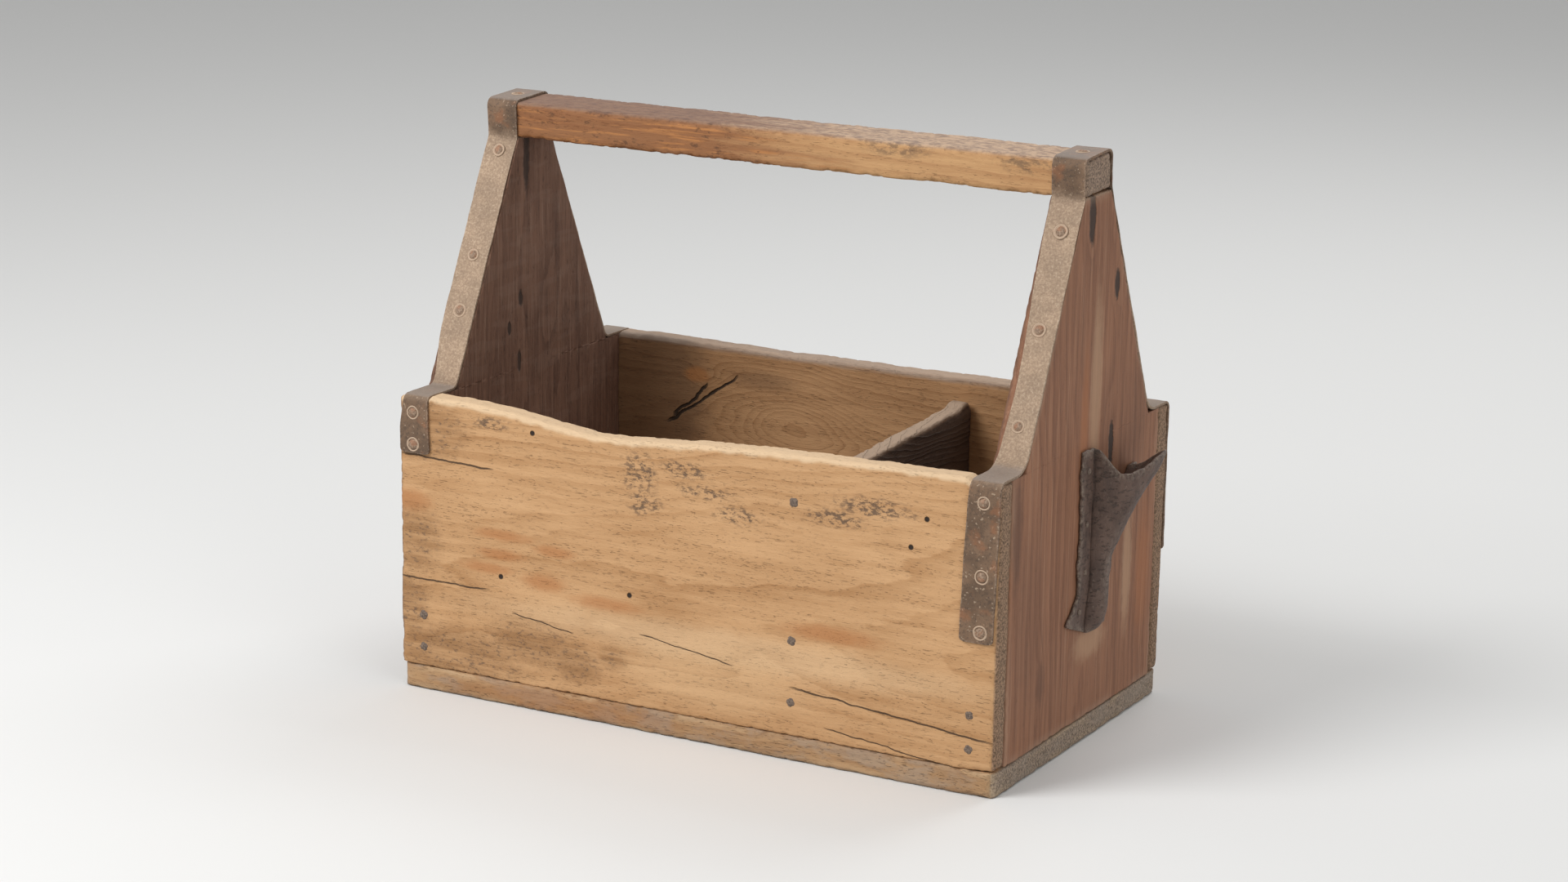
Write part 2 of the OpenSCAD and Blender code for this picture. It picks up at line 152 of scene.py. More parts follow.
# %% A class for node outputs and one for the tree
class Value:
    """One output of a node. Python's signs on it add Math nodes to the tree."""

    def __init__(self, bench, node, output):
        self.bench = bench
        self.node = node
        self.socket = node.outputs[output]

    def math(self, operation, *values):
        return self.bench.node("ShaderNodeMath", {"operation": operation}, dict(enumerate(values)))

    def vector_math(self, operation, *values, output=0):
        settings = {"operation": operation}
        return self.bench.node("ShaderNodeVectorMath", settings, dict(enumerate(values)), output)

    def __add__(self, other):
        return self.math("ADD", self, other)

    def __radd__(self, other):
        return self.math("ADD", other, self)

    def __sub__(self, other):
        return self.math("SUBTRACT", self, other)

    def __rsub__(self, other):
        return self.math("SUBTRACT", other, self)

    def __mul__(self, other):
        return self.math("MULTIPLY", self, other)

    def __rmul__(self, other):
        return self.math("MULTIPLY", other, self)

    def __truediv__(self, other):
        return self.math("DIVIDE", self, other)

    def __rtruediv__(self, other):
        return self.math("DIVIDE", other, self)

    def __pow__(self, other):
        return self.math("POWER", self, other)

    def apply(self, operation):
        """A Math node with one input, such as FRACT, FLOOR, SQRT, ABSOLUTE or SINE."""
        return self.math(operation, self)

    def least(self, other):
        return self.math("MINIMUM", self, other)

    def most(self, other):
        return self.math("MAXIMUM", self, other)

    def smooth(self, low, high):
        """Rises gently from 0 at low to 1 at high. With low above high it falls instead."""
        ends = (low, high, 0.0, 1.0) if low <= high else (high, low, 1.0, 0.0)
        inputs = {"Value": self}
        inputs.update(zip(("From Min", "From Max", "To Min", "To Max"), ends))
        return self.bench.node("ShaderNodeMapRange", {"interpolation_type": "SMOOTHSTEP"}, inputs)

    def axis(self, letter):
        """One coordinate of a vector."""
        return self.bench.node("ShaderNodeSeparateXYZ", {}, {0: self}, letter)

    def stretched(self, x, y, z):
        return self.vector_math("MULTIPLY", self, (x, y, z))

    def moved(self, x, y, z):
        return self.vector_math("ADD", self, (x, y, z))

    def length(self):
        return self.vector_math("LENGTH", self, output="Value")


class Bench:
    """A node tree that is being filled."""

    def __init__(self, tree):
        self.tree = tree

    def node(self, kind, settings, inputs, output=0):
        """Adds a node: its settings first, then the values or links of its inputs."""
        made = self.tree.nodes.new(kind)
        for key, setting in settings.items():
            setattr(made, key, setting)
        for key, value in inputs.items():
            self.feed(made.inputs[key], value)
        return Value(self, made, output)

    def feed(self, socket, value):
        if isinstance(value, Value):
            self.tree.links.new(value.socket, socket)
        else:
            socket.default_value = value

    def noise(self, at, detail=2.0, roughness=0.5, twist=0.0, output=0):
        """Soft random spots about one unit wide, between 0 and 1."""
        inputs = {"Vector": at, "Scale": 1.0, "Detail": detail, "Roughness": roughness}
        inputs["Distortion"] = twist
        return self.node("ShaderNodeTexNoise", {"noise_dimensions": "3D"}, inputs, output)

    def cells(self, at, randomness=1.0):
        """The distance to the nearest of scattered points about one unit apart."""
        return self.node("ShaderNodeTexVoronoi", {}, {"Vector": at, "Scale": 1.0,
                                                      "Randomness": randomness})

    def dice(self, number):
        """A random number between 0 and 1 for each whole number."""
        return self.node("ShaderNodeTexWhiteNoise", {"noise_dimensions": "1D"}, {"W": number})

    def mix(self, share, first, second, blend="MIX"):
        """Goes from the first colour to the second as the share goes from 0 to 1."""
        settings = {"data_type": "RGBA", "blend_type": blend}
        return self.node("ShaderNodeMix", settings, {0: share, 6: rgb(first), 7: rgb(second)}, 2)

    def attribute(self, name):
        """A number that the mesh keeps at its points."""
        return self.node("ShaderNodeAttribute", {"attribute_name": name}, {}, "Fac")


def rgb(colour):
    """A colour with its fourth number added; a linked colour stays as it is."""
    return colour if isinstance(colour, Value) else (*colour, 1.0)


def new_finish(name, paint):
    """Makes a material. paint(bench, p) gets places in millimetres and returns its inputs."""
    material = bpy.data.materials.new(name)
    material.use_nodes = True
    tree = material.node_tree
    bench = Bench(tree)
    shader = tree.nodes["Principled BSDF"]
    place = bench.node("ShaderNodeTexCoord", {}, {}, "Object").stretched(1 / MM, 1 / MM, 1 / MM)
    parts = paint(bench, place)
    depth = parts.pop("depth", 0.3)
    if "height" in parts:
        bump = {"Strength": 1.0, "Distance": depth * MM, "Height": parts.pop("height")}
        parts["Normal"] = bench.node("ShaderNodeBump", {}, bump)
    for key, value in parts.items():
        bench.feed(shader.inputs[key], value)
    print("finish", name, "has", len(tree.nodes), "nodes")
    return material


# %% [markdown]
# A floor is the plainest material there is: one pale colour that takes the soft shadow. The world
# gives even light from all round, and shows as a pale backdrop where the camera or a shiny piece
# sees it.

# %% Make the floor, the world and the lamps
FLOOR_COLOUR = (0.78, 0.78, 0.77)
SKY_LIGHT = 0.42
LAMPS = {
    "key_lamp": ((-32, 42), 3.0, 1.6, 62.0),
    "fill_lamp": ((62, 24), 3.0, 2.0, 12.0),
    "back_lamp": ((168, 50), 3.0, 1.8, 26.0),
}


def make_floor():
    half = 9.0
    mesh = bpy.data.meshes.new("floor")
    corners = [(-half, -half, 0), (half, -half, 0), (half, half, 0), (-half, half, 0)]
    mesh.from_pydata(corners, [], [(0, 1, 2, 3)])
    floor = bpy.data.objects.new("floor", mesh)
    scene.collection.objects.link(floor)
    matt = {"Base Color": rgb(FLOOR_COLOUR), "Roughness": 0.9}
    plain = new_finish("pale_floor", lambda bench, p: dict(matt))
    mesh.materials.append(plain)


def make_world():
    world = bpy.data.worlds.new("pale_room")
    world.use_nodes = True
    scene.world = world
    bench = Bench(world.node_tree)
    light = bench.node("ShaderNodeBackground", {}, {"Color": (1, 1, 1, 1), "Strength": SKY_LIGHT})
    shown = bench.node("ShaderNodeBackground", {}, {"Color": rgb(FLOOR_COLOUR), "Strength": 1.0})
    camera_ray = bench.node("ShaderNodeLightPath", {}, {}, "Is Camera Ray")
    glossy_ray = Value(bench, camera_ray.node, "Is Glossy Ray")
    clear_ray = Value(bench, camera_ray.node, "Is Transmission Ray")
    seen = camera_ray.most(glossy_ray).most(clear_ray)
    both = bench.node("ShaderNodeMixShader", {}, {0: seen, 1: light, 2: shown})
    bench.feed(world.node_tree.nodes["World Output"].inputs["Surface"], both)


def make_lamp(name, angles, distance, size, power):
    lamp = bpy.data.lights.new(name, "AREA")
    lamp.shape = "DISK"
    lamp.size = size
    lamp.energy = power
    made = bpy.data.objects.new(name, lamp)
    scene.collection.objects.link(made)
    away = direction(*(math.radians(a) for a in angles))
    made.location = AIM + away * distance
    made.rotation_mode = "QUATERNION"
    made.rotation_quaternion = (-away).to_track_quat("-Z", "Y")


make_floor()
make_world()
for lamp_name, (angles, distance, size, power) in LAMPS.items():
    make_lamp(lamp_name, angles, distance, size, power)
print("lamps:", ", ".join(LAMPS))

# %% [markdown]
# ## Blocks with worn edges
#
# No edge on an old box is sharp. A bevel would give every edge the same neat round, so each board
# is made as the skin of a block, cut into a fine grid that is closer near the edges. Points near
# an edge are then drawn in to a radius that wanders along it. The board's real outline comes
# last, by moving the whole grid, as when a straight plank is shaped.

# %% Build the skin of a block as a grid
def marks(low, high, step, edge):
    """Grid lines from low to high: evenly spaced, and closer within an edge's width of the ends."""
    count = max(2, round((high - low - 2 * edge) / step))
    inner = np.linspace(low + edge, high - edge, count + 1)
    near = edge * np.array([0.0, 0.3, 0.65])
    return np.concatenate([low + near, inner, high - near[::-1]])


def skin(xs, ys, zs):
    """The points and faces of a block's outside, where the three lists are its grid lines."""
    counts = (len(xs), len(ys), len(zs))
    index = np.indices(counts)
    outside = np.zeros(counts, bool)
    for axis, count in enumerate(counts):
        outside |= (index[axis] == 0) | (index[axis] == count - 1)
    number = np.full(counts, -1)
    number[outside] = np.arange(outside.sum())
    points = np.stack([lines[index[axis][outside]] for axis, lines in enumerate((xs, ys, zs))], 1)
    faces = []
    for axis in range(3):
        # The two other axes in turning order, so that the faces of the far side point outwards
        order = (axis, (axis + 1) % 3, (axis + 2) % 3)
        near_side, far_side = (np.moveaxis(number, order, (0, 1, 2))[k] for k in (0, -1))
        for side, outward in ((near_side, False), (far_side, True)):
            loop = [side[:-1, :-1], side[1:, :-1], side[1:, 1:], side[:-1, 1:]]
            if not outward:
                loop.reverse()
            faces.append(np.stack([part.ravel() for part in loop], 1))
    return points, np.concatenate(faces)


def ragged(points, size, seed, detail=3):
    """Soft random numbers, about -1 to 1, for spots of the given size in millimetres."""
    offset = Vector((seed * 17.3, seed * 5.1, seed * 11.7))
    return np.array([noise.fractal(Vector(p) / size + offset, 1.0, 2.0, detail) for p in points])


def edge_gap(points, low, high):
    """How far each point of a block's skin is from the nearest edge."""
    gaps = np.minimum(points - low, high - points)
    return np.sort(gaps, axis=1)[:, 1]


def rounding(points, low, high, radius):
    """How each point moves when the block's edges are rounded to a radius given for each point."""
    r = np.asarray(radius, float).reshape(-1, 1) if np.ndim(radius) else radius
    core = np.clip(points, low + r, high - r)
    away = points - core
    size = np.linalg.norm(away, axis=1, keepdims=True)
    return core + away * (r / np.maximum(size, 1e-9)) - points


def mesh_piece(name, points, faces, numbers=None):
    """A smooth-shaded object from points in millimetres, with named numbers kept at its points."""
    mesh = bpy.data.meshes.new(name)
    mesh.from_pydata((np.asarray(points) * MM).tolist(), [], np.asarray(faces).tolist())
    mesh.polygons.foreach_set("use_smooth", [True] * len(mesh.polygons))
    for key, values in (numbers or {}).items():
        kept = mesh.attributes.new(key, "FLOAT", "POINT").data
        kept.foreach_set("value", np.asarray(values, np.float32))
    mesh.update()
    piece = bpy.data.objects.new(name, mesh)
    scene.collection.objects.link(piece)
    return piece


# %% [markdown]
# Knocks, chips and the ripple of shrunken wood follow the same rule on every board, so one
# Geometry Nodes tree puts them on all of them. It moves each point along its normal: chips only
# near the edges, where the number kept as `edge` is high, and shallow dents everywhere. The sizes
# are named inputs, set on each board's modifier by the socket's identifier.

# %% Make the weathering tree
def new_tree(name, inputs):
    """A Geometry Nodes tree with a geometry input, the named inputs and a geometry output."""
    tree = bpy.data.node_groups.new(name, "GeometryNodeTree")
    tree.interface.new_socket("Geometry", in_out="INPUT", socket_type="NodeSocketGeometry")
    for label, kind in inputs.items():
        tree.interface.new_socket(label, in_out="INPUT", socket_type=f"NodeSocket{kind}")
    tree.interface.new_socket("Geometry", in_out="OUTPUT", socket_type="NodeSocketGeometry")
    bench = Bench(tree)
    given = tree.nodes.new("NodeGroupInput")
    return tree, bench, {label: Value(bench, given, label) for label in ("Geometry", *inputs)}


def end_tree(bench, geometry, finish):
    """Makes copies real, gives them their material and hands them to the tree's output."""
    real = bench.node("GeometryNodeRealizeInstances", {}, {"Geometry": geometry})
    inputs = {"Geometry": real, "Material": finish}
    output = bench.tree.nodes.new("NodeGroupOutput")
    bench.feed(output.inputs["Geometry"], bench.node("GeometryNodeSetMaterial", {}, inputs))


def run_tree(tree, piece, settings):
    """Runs a tree on a piece and returns the result as a plain mesh of the same name."""
    modifier = piece.modifiers.new("tree", "NODES")
    modifier.node_group = tree
    sockets = {item.name: item.identifier for item in tree.interface.items_tree
               if item.in_out == "INPUT"}
    for label, value in settings.items():
        modifier[sockets[label]] = value
    name = piece.name
    bpy.context.view_layer.update()
    evaluated = piece.evaluated_get(bpy.context.evaluated_depsgraph_get())
    shaped = bpy.data.meshes.new_from_object(evaluated)
    bpy.data.objects.remove(piece)
    shaped.name = name
    result = bpy.data.objects.new(name, shaped)
    scene.collection.objects.link(result)
    result.data.polygons.foreach_set("use_smooth", [True] * len(shaped.polygons))
    print(name, "has", len(shaped.polygons), "faces")
    return result


def weathering_tree():
    inputs = {"Chip depth": "Float", "Chip size": "Float", "Dent depth": "Float", "Seed": "Float",
              "Finish": "Material"}
    tree, bench, given = new_tree("weathering", inputs)
    place = bench.node("GeometryNodeInputPosition", {}, {}).stretched(1 / MM, 1 / MM, 1 / MM)
    shifts = {0: given["Seed"] * 31.7, 1: given["Seed"] * 7.9}
    shift = bench.node("ShaderNodeCombineXYZ", {}, shifts)
    spot = place.vector_math("ADD", place, shift)
    edge = bench.node("GeometryNodeInputNamedAttribute", {"data_type": "FLOAT"}, {"Name": "edge"})
    size = bench.node("ShaderNodeCombineXYZ", {}, {k: 1 / given["Chip size"] for k in range(3)})
    chips = bench.noise(spot.vector_math("MULTIPLY", spot, size), detail=3).smooth(0.46, 0.66)
    dents = bench.noise(spot.stretched(1 / 38, 1 / 38, 1 / 38), detail=2) - 0.5
    move = given["Dent depth"] * dents - given["Chip depth"] * chips * edge
    normal = bench.node("GeometryNodeInputNormal", {}, {})
    offset = normal.vector_math("SCALE", normal)
    bench.feed(offset.node.inputs["Scale"], move * MM)
    inputs = {"Geometry": given["Geometry"], "Offset": offset}
    end_tree(bench, bench.node("GeometryNodeSetPosition", {}, inputs), given["Finish"])
    return tree


WEATHERING = weathering_tree()
print("weathering tree has", len(WEATHERING.nodes), "nodes")

# %% [markdown]
# ## Timber
#
# Wood is not a picture laid on a board: it is solid. A tree's growth rings are tubes round its
# heart, and a board is a slice through them. So the pattern is worked out in three dimensions:
# the distance from a heart line outside the board, divided by the width of a ring. The same
# formula then gives long arches on the faces and arcs on the cut ends. Slow noise bends the
# rings, and knots push them aside.

# %% Growth rings, fibres and marks
GRAIN = {"x": ("X", "Y", "Z"), "y": ("Y", "Z", "X"), "z": ("Z", "X", "Y")}


def along_grain(bench, p, grain):
    """The same places with the grain's direction as the first coordinate."""
    parts = {k: p.axis(letter) for k, letter in enumerate(GRAIN[grain])}
    return bench.node("ShaderNodeCombineXYZ", {}, parts)


def rings(bench, g, heart, width, lean=(0.0, 0.0), wander=1.0, knots=()):
    """Late wood, from 0 to 1, of rings round a heart line. g has the grain as its first axis."""
    slow = bench.noise(g.stretched(1 / 170, 1 / 45, 1 / 45), detail=1.5) - 0.5
    quick = bench.noise(g.stretched(1 / 38, 1 / 10, 1 / 10), detail=3, roughness=0.6) - 0.5
    run = g.axis("X")
    across = g.axis("Y") - heart[0] + run * lean[0]
    through = g.axis("Z") - heart[1] + run * lean[1]
    radius = (across * across + through * through).apply("SQRT")
    radius = radius + slow * (22 * wander) + quick * (4 * wander)
    for place, reach, push in knots:
        far = g.moved(*(-c for c in place)).stretched(*(1 / r for r in reach)).length()
        radius = radius + (far * far * -1.0).apply("EXPONENT") * push
    phase = radius / width
    step = phase.apply("FRACT")
    strength = bench.dice(phase.apply("FLOOR")) * 0.65 + 0.35
    return (step ** 2.2) * (1 - step.smooth(0.88, 1.0)) * strength


def streaks(bench, g, long, fine, detail=4.0, roughness=0.62):
    """Fibres: noise that is drawn out along the grain."""
    return bench.noise(g.stretched(1 / long, 1 / fine, 1 / fine), detail, roughness)


def patch(bench, p, place, reach, blur=0.5, tear=0.35, grain=9.0):
    """A soft-edged patch round a place, with an outline that noise tears."""
    far = p.moved(*(-c for c in place)).stretched(*(1 / r for r in reach)).length()
    torn = bench.noise(p.stretched(1 / grain, 1 / grain, 1 / grain), detail=4, roughness=0.65)
    return (far + (torn - 0.5) * (2 * tear)).smooth(1 + blur / 2, 1 - blur / 2)


def split(bench, p, start, end, width, flat, wobble=2.0):
    """A crack from start to end on a face; `flat` names the two axes of that face."""
    first, second = flat
    u = p.axis(first)
    bend = (bench.noise(p.stretched(1 / 16, 1 / 16, 1 / 16), detail=3) - 0.5) * (2 * wobble)
    span_u = end[0] - start[0]
    t = (u - start[0]) / span_u
    off = (p.axis(second) + bend - start[1] - t * (end[1] - start[1])).apply("ABSOLUTE")
    taper = (t * (1 - t) * 4).most(0.0).least(1.0).apply("SQRT")
    inside = (off / width).smooth(1.0, 0.35)
    return inside * taper.smooth(0.05, 0.6)


def grow(*masks):
    """Joins masks: the greatest of them at each place."""
    total = masks[0]
    for mask in masks[1:]:
        total = total.most(mask)
    return total


# %% [markdown]
# ### The finish of a board
#
# All boards share one recipe: early and late wood, fibres, short dark dashes where dirt sits in
# the open grain, and the colour and pores of the cut ends. Each board then adds its own stains
# and wear, and some add painted shade on their inner faces. What differs is passed in.

# %% The shared recipe for a board
def board_paint(bench, p, grain, light, dark, heart, ring, lean=(0.0, 0.0), wander=1.0, knots=(),
                ring_depth=0.5, dash=0.5, end_colour=(0.30, 0.19, 0.12), fibre=14.0):
    """Returns the colour and the height of bare old wood, its coordinates and the patterns behind
    them.
    """
    g = along_grain(bench, p, grain)
    late = rings(bench, g, heart, ring, lean, wander, knots)
    fine = streaks(bench, g, fibre, 0.55)
    broad = streaks(bench, g, 90.0, 7.0, detail=3)
    cloud = bench.noise(g.stretched(1 / 120, 1 / 40, 1 / 40), detail=3)
    tone = (late * ring_depth + (fine - 0.5) * 0.55 + (broad - 0.5) * 0.9 + (cloud - 0.5) * 0.5)
    colour = bench.mix((tone + 0.18).smooth(-0.35, 0.95), light, dark)
    pits = bench.noise(g.stretched(1 / 5.5, 1 / 0.8, 1 / 0.8), detail=2, roughness=0.55, twist=0.4)
    dashes = pits.smooth(0.60, 0.70) * (broad.smooth(0.35, 0.6) * 0.7 + 0.3) * dash
    colour = bench.mix(dashes * 0.75, colour, tuple(c * 0.32 for c in dark))
    end = bench.attribute("end")
    pores = bench.noise(p.stretched(1 / 1.6, 1 / 1.6, 1 / 1.6), detail=3, roughness=0.7)
    cut = bench.mix(pores.smooth(0.35, 0.65), tuple(c * 0.45 for c in end_colour),
                    tuple(min(1.0, c * 1.35) for c in end_colour))
    colour = bench.mix(end, colour, cut)
    height = fine * 0.5 + late * 0.4 - dashes * 0.9 + broad * 0.4 + end * pores * 0.8
    return {"colour": colour, "height": height, "g": g, "fine": fine, "broad": broad,
            "cloud": cloud, "dashes": dashes, "late": late, "end": end}


def bare_wood(colour, height, rough=0.78, depth=0.45):
    """The inputs of a plain wood shader."""
    return {"Base Color": colour, "Roughness": rough, "height": height, "depth": depth,
            "Specular IOR Level": 0.25}


# %% [markdown]
# ### The front board
#
# Golden pine, the lightest of the boards, with long nearly straight grain. Its marks are the
# box's own story: dark smudges under the rim where hands and tools rubbed, reddish stains, a
# dirty lower left, a lighter band across it, drying cracks that follow the grain, and a pale rim
# rubbed smooth by reaching in.

# %% Paint the front board
PALE_PINE = (0.66, 0.40, 0.205)
GOLDEN_PINE = (0.40, 0.205, 0.085)
CREAM_RIM = (0.80, 0.60, 0.39)
SMUDGE = (0.115, 0.075, 0.052)
RED_STAIN = (0.42, 0.165, 0.055)
GREY_WOOD = (0.36, 0.30, 0.245)
FRONT_FACE = -HALF_WIDTH
SMUDGE_SPOTS = [((-40, 196), (13, 16)), ((-36, 174), (13, 8)), ((-2, 204), (20, 6)),
                ((16, 190), (20, 5)), ((42, 176), (17, 6)), ((-168, 216), (14, 5)),
                ((150, 198), (30, 7)), ((120, 186), (22, 6))]
DIRTY_SPOTS = [((-200, 34), (60, 17)), ((-135, 52), (34, 16)), ((-62, 52), (12, 8)),
               ((-95, 44), (20, 14)), ((-236, 118), (20, 22)), ((-245, 66), (18, 22)),
               ((-225, 205), (30, 22))]
RED_SPOTS = [((-159, 132), (22, 4)), ((-160, 117), (18, 4)), ((-172, 105), (20, 4)),
             ((-113, 126), (16, 4)), ((-122, 101), (17, 6)), ((-68, 93), (26, 5)),
             ((-240, 148), (16, 8)), ((120, 100), (34, 6))]
FRONT_CRACKS = [((-250, 184), (-166, 181), 0.8), ((-251, 88), (-172, 88), 0.7),
                ((85, 56), (250, 41), 0.8), ((114, 30), (240, 16), 0.55),
                ((-40, 75), (40, 64), 0.5), ((-150, 74), (-96, 66), 0.5)]
WORM_HOLES = [(-132, 214), (-48, 103), (193, 196), (181, 174), (-160, 100)]


def on_front(u, z):
    return (u, FRONT_FACE, z)


def paint_front_board(bench, p):
    wood = board_paint(bench, p, "x", PALE_PINE, GOLDEN_PINE, heart=(48, 96), ring=5.2,
                       lean=(0.02, -0.075), wander=1.0, dash=0.6)
    colour, height = wood["colour"], wood["height"]
    outer = p.axis("Y").smooth(FRONT_FACE + 7, FRONT_FACE + 3)
    speck = bench.noise(p.stretched(1 / 5, 1 / 2.6, 1 / 2.6), detail=4, roughness=0.7)
    red = grow(*(patch(bench, p, on_front(*at), (reach[0], 14, reach[1]), blur=1.2)
                 for at, reach in RED_SPOTS))
    colour = bench.mix(red * 0.62, colour, RED_STAIN)
    band = patch(bench, p, on_front(30, 76), (190, 14, 13), blur=1.0, tear=0.3, grain=26)
    colour = bench.mix(band * 0.42, colour, (0.74, 0.52, 0.31))
    low_light = patch(bench, p, on_front(20, 50), (70, 14, 22), blur=0.9, tear=0.4, grain=30)
    colour = bench.mix(low_light * 0.3, colour, (0.74, 0.50, 0.28))
    dirt = grow(*(patch(bench, p, on_front(*at), (reach[0], 14, reach[1]), blur=1.1, tear=0.5)
                  for at, reach in DIRTY_SPOTS))
    grime = dirt * (wood["broad"].smooth(0.3, 0.62) * 0.6 + 0.4)
    colour = bench.mix(grime * 0.62, colour, (0.235, 0.115, 0.045))
    colour = bench.mix(dirt * speck.smooth(0.52, 0.68) * 0.75, colour, (0.13, 0.085, 0.06))
    smudge = grow(*(patch(bench, p, on_front(*at), (reach[0], 14, reach[1]), blur=0.9, tear=0.55)
                    for at, reach in SMUDGE_SPOTS))
    rubbed = smudge * speck.smooth(0.46, 0.60)
    colour = bench.mix(rubbed * 0.85, colour, SMUDGE)
    cracks = grow(*(split(bench, p, a, b, w, ("X", "Z")) for a, b, w in FRONT_CRACKS)) * outer
    colour = bench.mix(cracks * 0.9, colour, (0.06, 0.035, 0.022))
    holes = grow(*((p.moved(-x, 0, -z).stretched(1, 0, 1).length()).smooth(2.3, 1.3)
                   for x, z in WORM_HOLES)) * outer
    colour = bench.mix(holes, colour, (0.03, 0.02, 0.015))
    rim = bench.attribute("below_rim")
    ragged_rim = rim + (bench.noise(p.stretched(1 / 14, 1 / 14, 1 / 14), detail=4) - 0.5) * 6
    worn = ragged_rim.smooth(5.5, 2.0) * (1 - wood["end"])
    colour = bench.mix(worn * 0.75, colour, CREAM_RIM)
    # Painted shade: the inner face is darkened from about 14 mm below the rim down.
    inner = p.axis("Y").smooth(FRONT_FACE + 12, FRONT_FACE + 16) * ragged_rim.smooth(4, 14)
    colour = bench.mix(inner * 0.55, colour, (0.20, 0.115, 0.062))
    return bare_wood(colour, height - cracks * 3 - holes * 4 - rubbed * 0.3, depth=0.55)


FRONT_FINISH = new_finish("front_pine", paint_front_board)

# %% [markdown]
# ### The other boards
#
# The back board is the same pine seen from the inside, browner, with a knot and a crack that runs
# from it. The end boards are a darker, redder wood with upright grain. The bottom board is grey
# from standing on the ground, the divider is nearly black with a worn pale top, and the handle is
# dark and polished at its left and golden at its right.

# %% Paint the back board
BACK_INSIDE = HALF_WIDTH - SIDE_THICK


def paint_back_board(bench, p):
    knot = ((-142, BACK_INSIDE, 201), (16, 30, 11), 15)
    swirl = ((-60, BACK_INSIDE, 172), (46, 40, 24), -26)
    wood = board_paint(bench, p, "x", (0.58, 0.335, 0.165), (0.33, 0.165, 0.07), heart=(168, 150),
                       ring=4.4, lean=(0.03, 0.05), wander=1.3, knots=(knot, swirl), dash=0.55)
    colour, height = wood["colour"], wood["height"]
    inside = p.axis("Y").smooth(BACK_INSIDE + 6, BACK_INSIDE + 2)
    # Painted shadow: the large patch over the left of the inner face is the left end board's cast
    # shadow; two smaller dark patches near the rim join it.
    dark = grow(patch(bench, p, (-205, BACK_INSIDE, 180), (62, 30, 90), blur=0.5, tear=0.2),
                patch(bench, p, (-90, BACK_INSIDE, 205), (26, 30, 7), blur=1.2, tear=0.5) * 0.6,
                patch(bench, p, (-192, BACK_INSIDE, 205), (12, 30, 14), blur=1.0))
    colour = bench.mix(dark * inside * 0.55, colour, (0.105, 0.06, 0.036))
    heart_wood = patch(bench, p, (-150, BACK_INSIDE, 203), (11, 30, 6), blur=0.8, tear=0.3)
    colour = bench.mix(heart_wood * inside * 0.8, colour, (0.46, 0.20, 0.07))
    cracks = grow(split(bench, p, (-178, 160), (-112, 206), 1.7, ("X", "Z"), wobble=4),
                  split(bench, p, (-172, 166), (-140, 196), 2.4, ("X", "Z"), wobble=7)) * inside
    colour = bench.mix(cracks * 0.95, colour, (0.03, 0.02, 0.014))
    rim = bench.attribute("below_rim")
    worn = (rim + (wood["broad"] - 0.5) * 6).smooth(6, 1.5) * (1 - wood["end"])
    colour = bench.mix(worn * 0.6, colour, (0.47, 0.40, 0.345))
    # Painted shade: the inner face darkens towards the bottom of the box.
    deep = p.axis("Z").smooth(150, 40) * inside
    colour = bench.mix(deep * 0.45, colour, (0.16, 0.09, 0.05))
    return bare_wood(colour, height - cracks * 5, depth=0.6)


BACK_FINISH = new_finish("back_pine", paint_back_board)

# %% Paint the two end boards
RED_BROWN = (0.365, 0.175, 0.098)
DEEP_BROWN = (0.175, 0.078, 0.045)
RIGHT_FACE = HALF_LENGTH


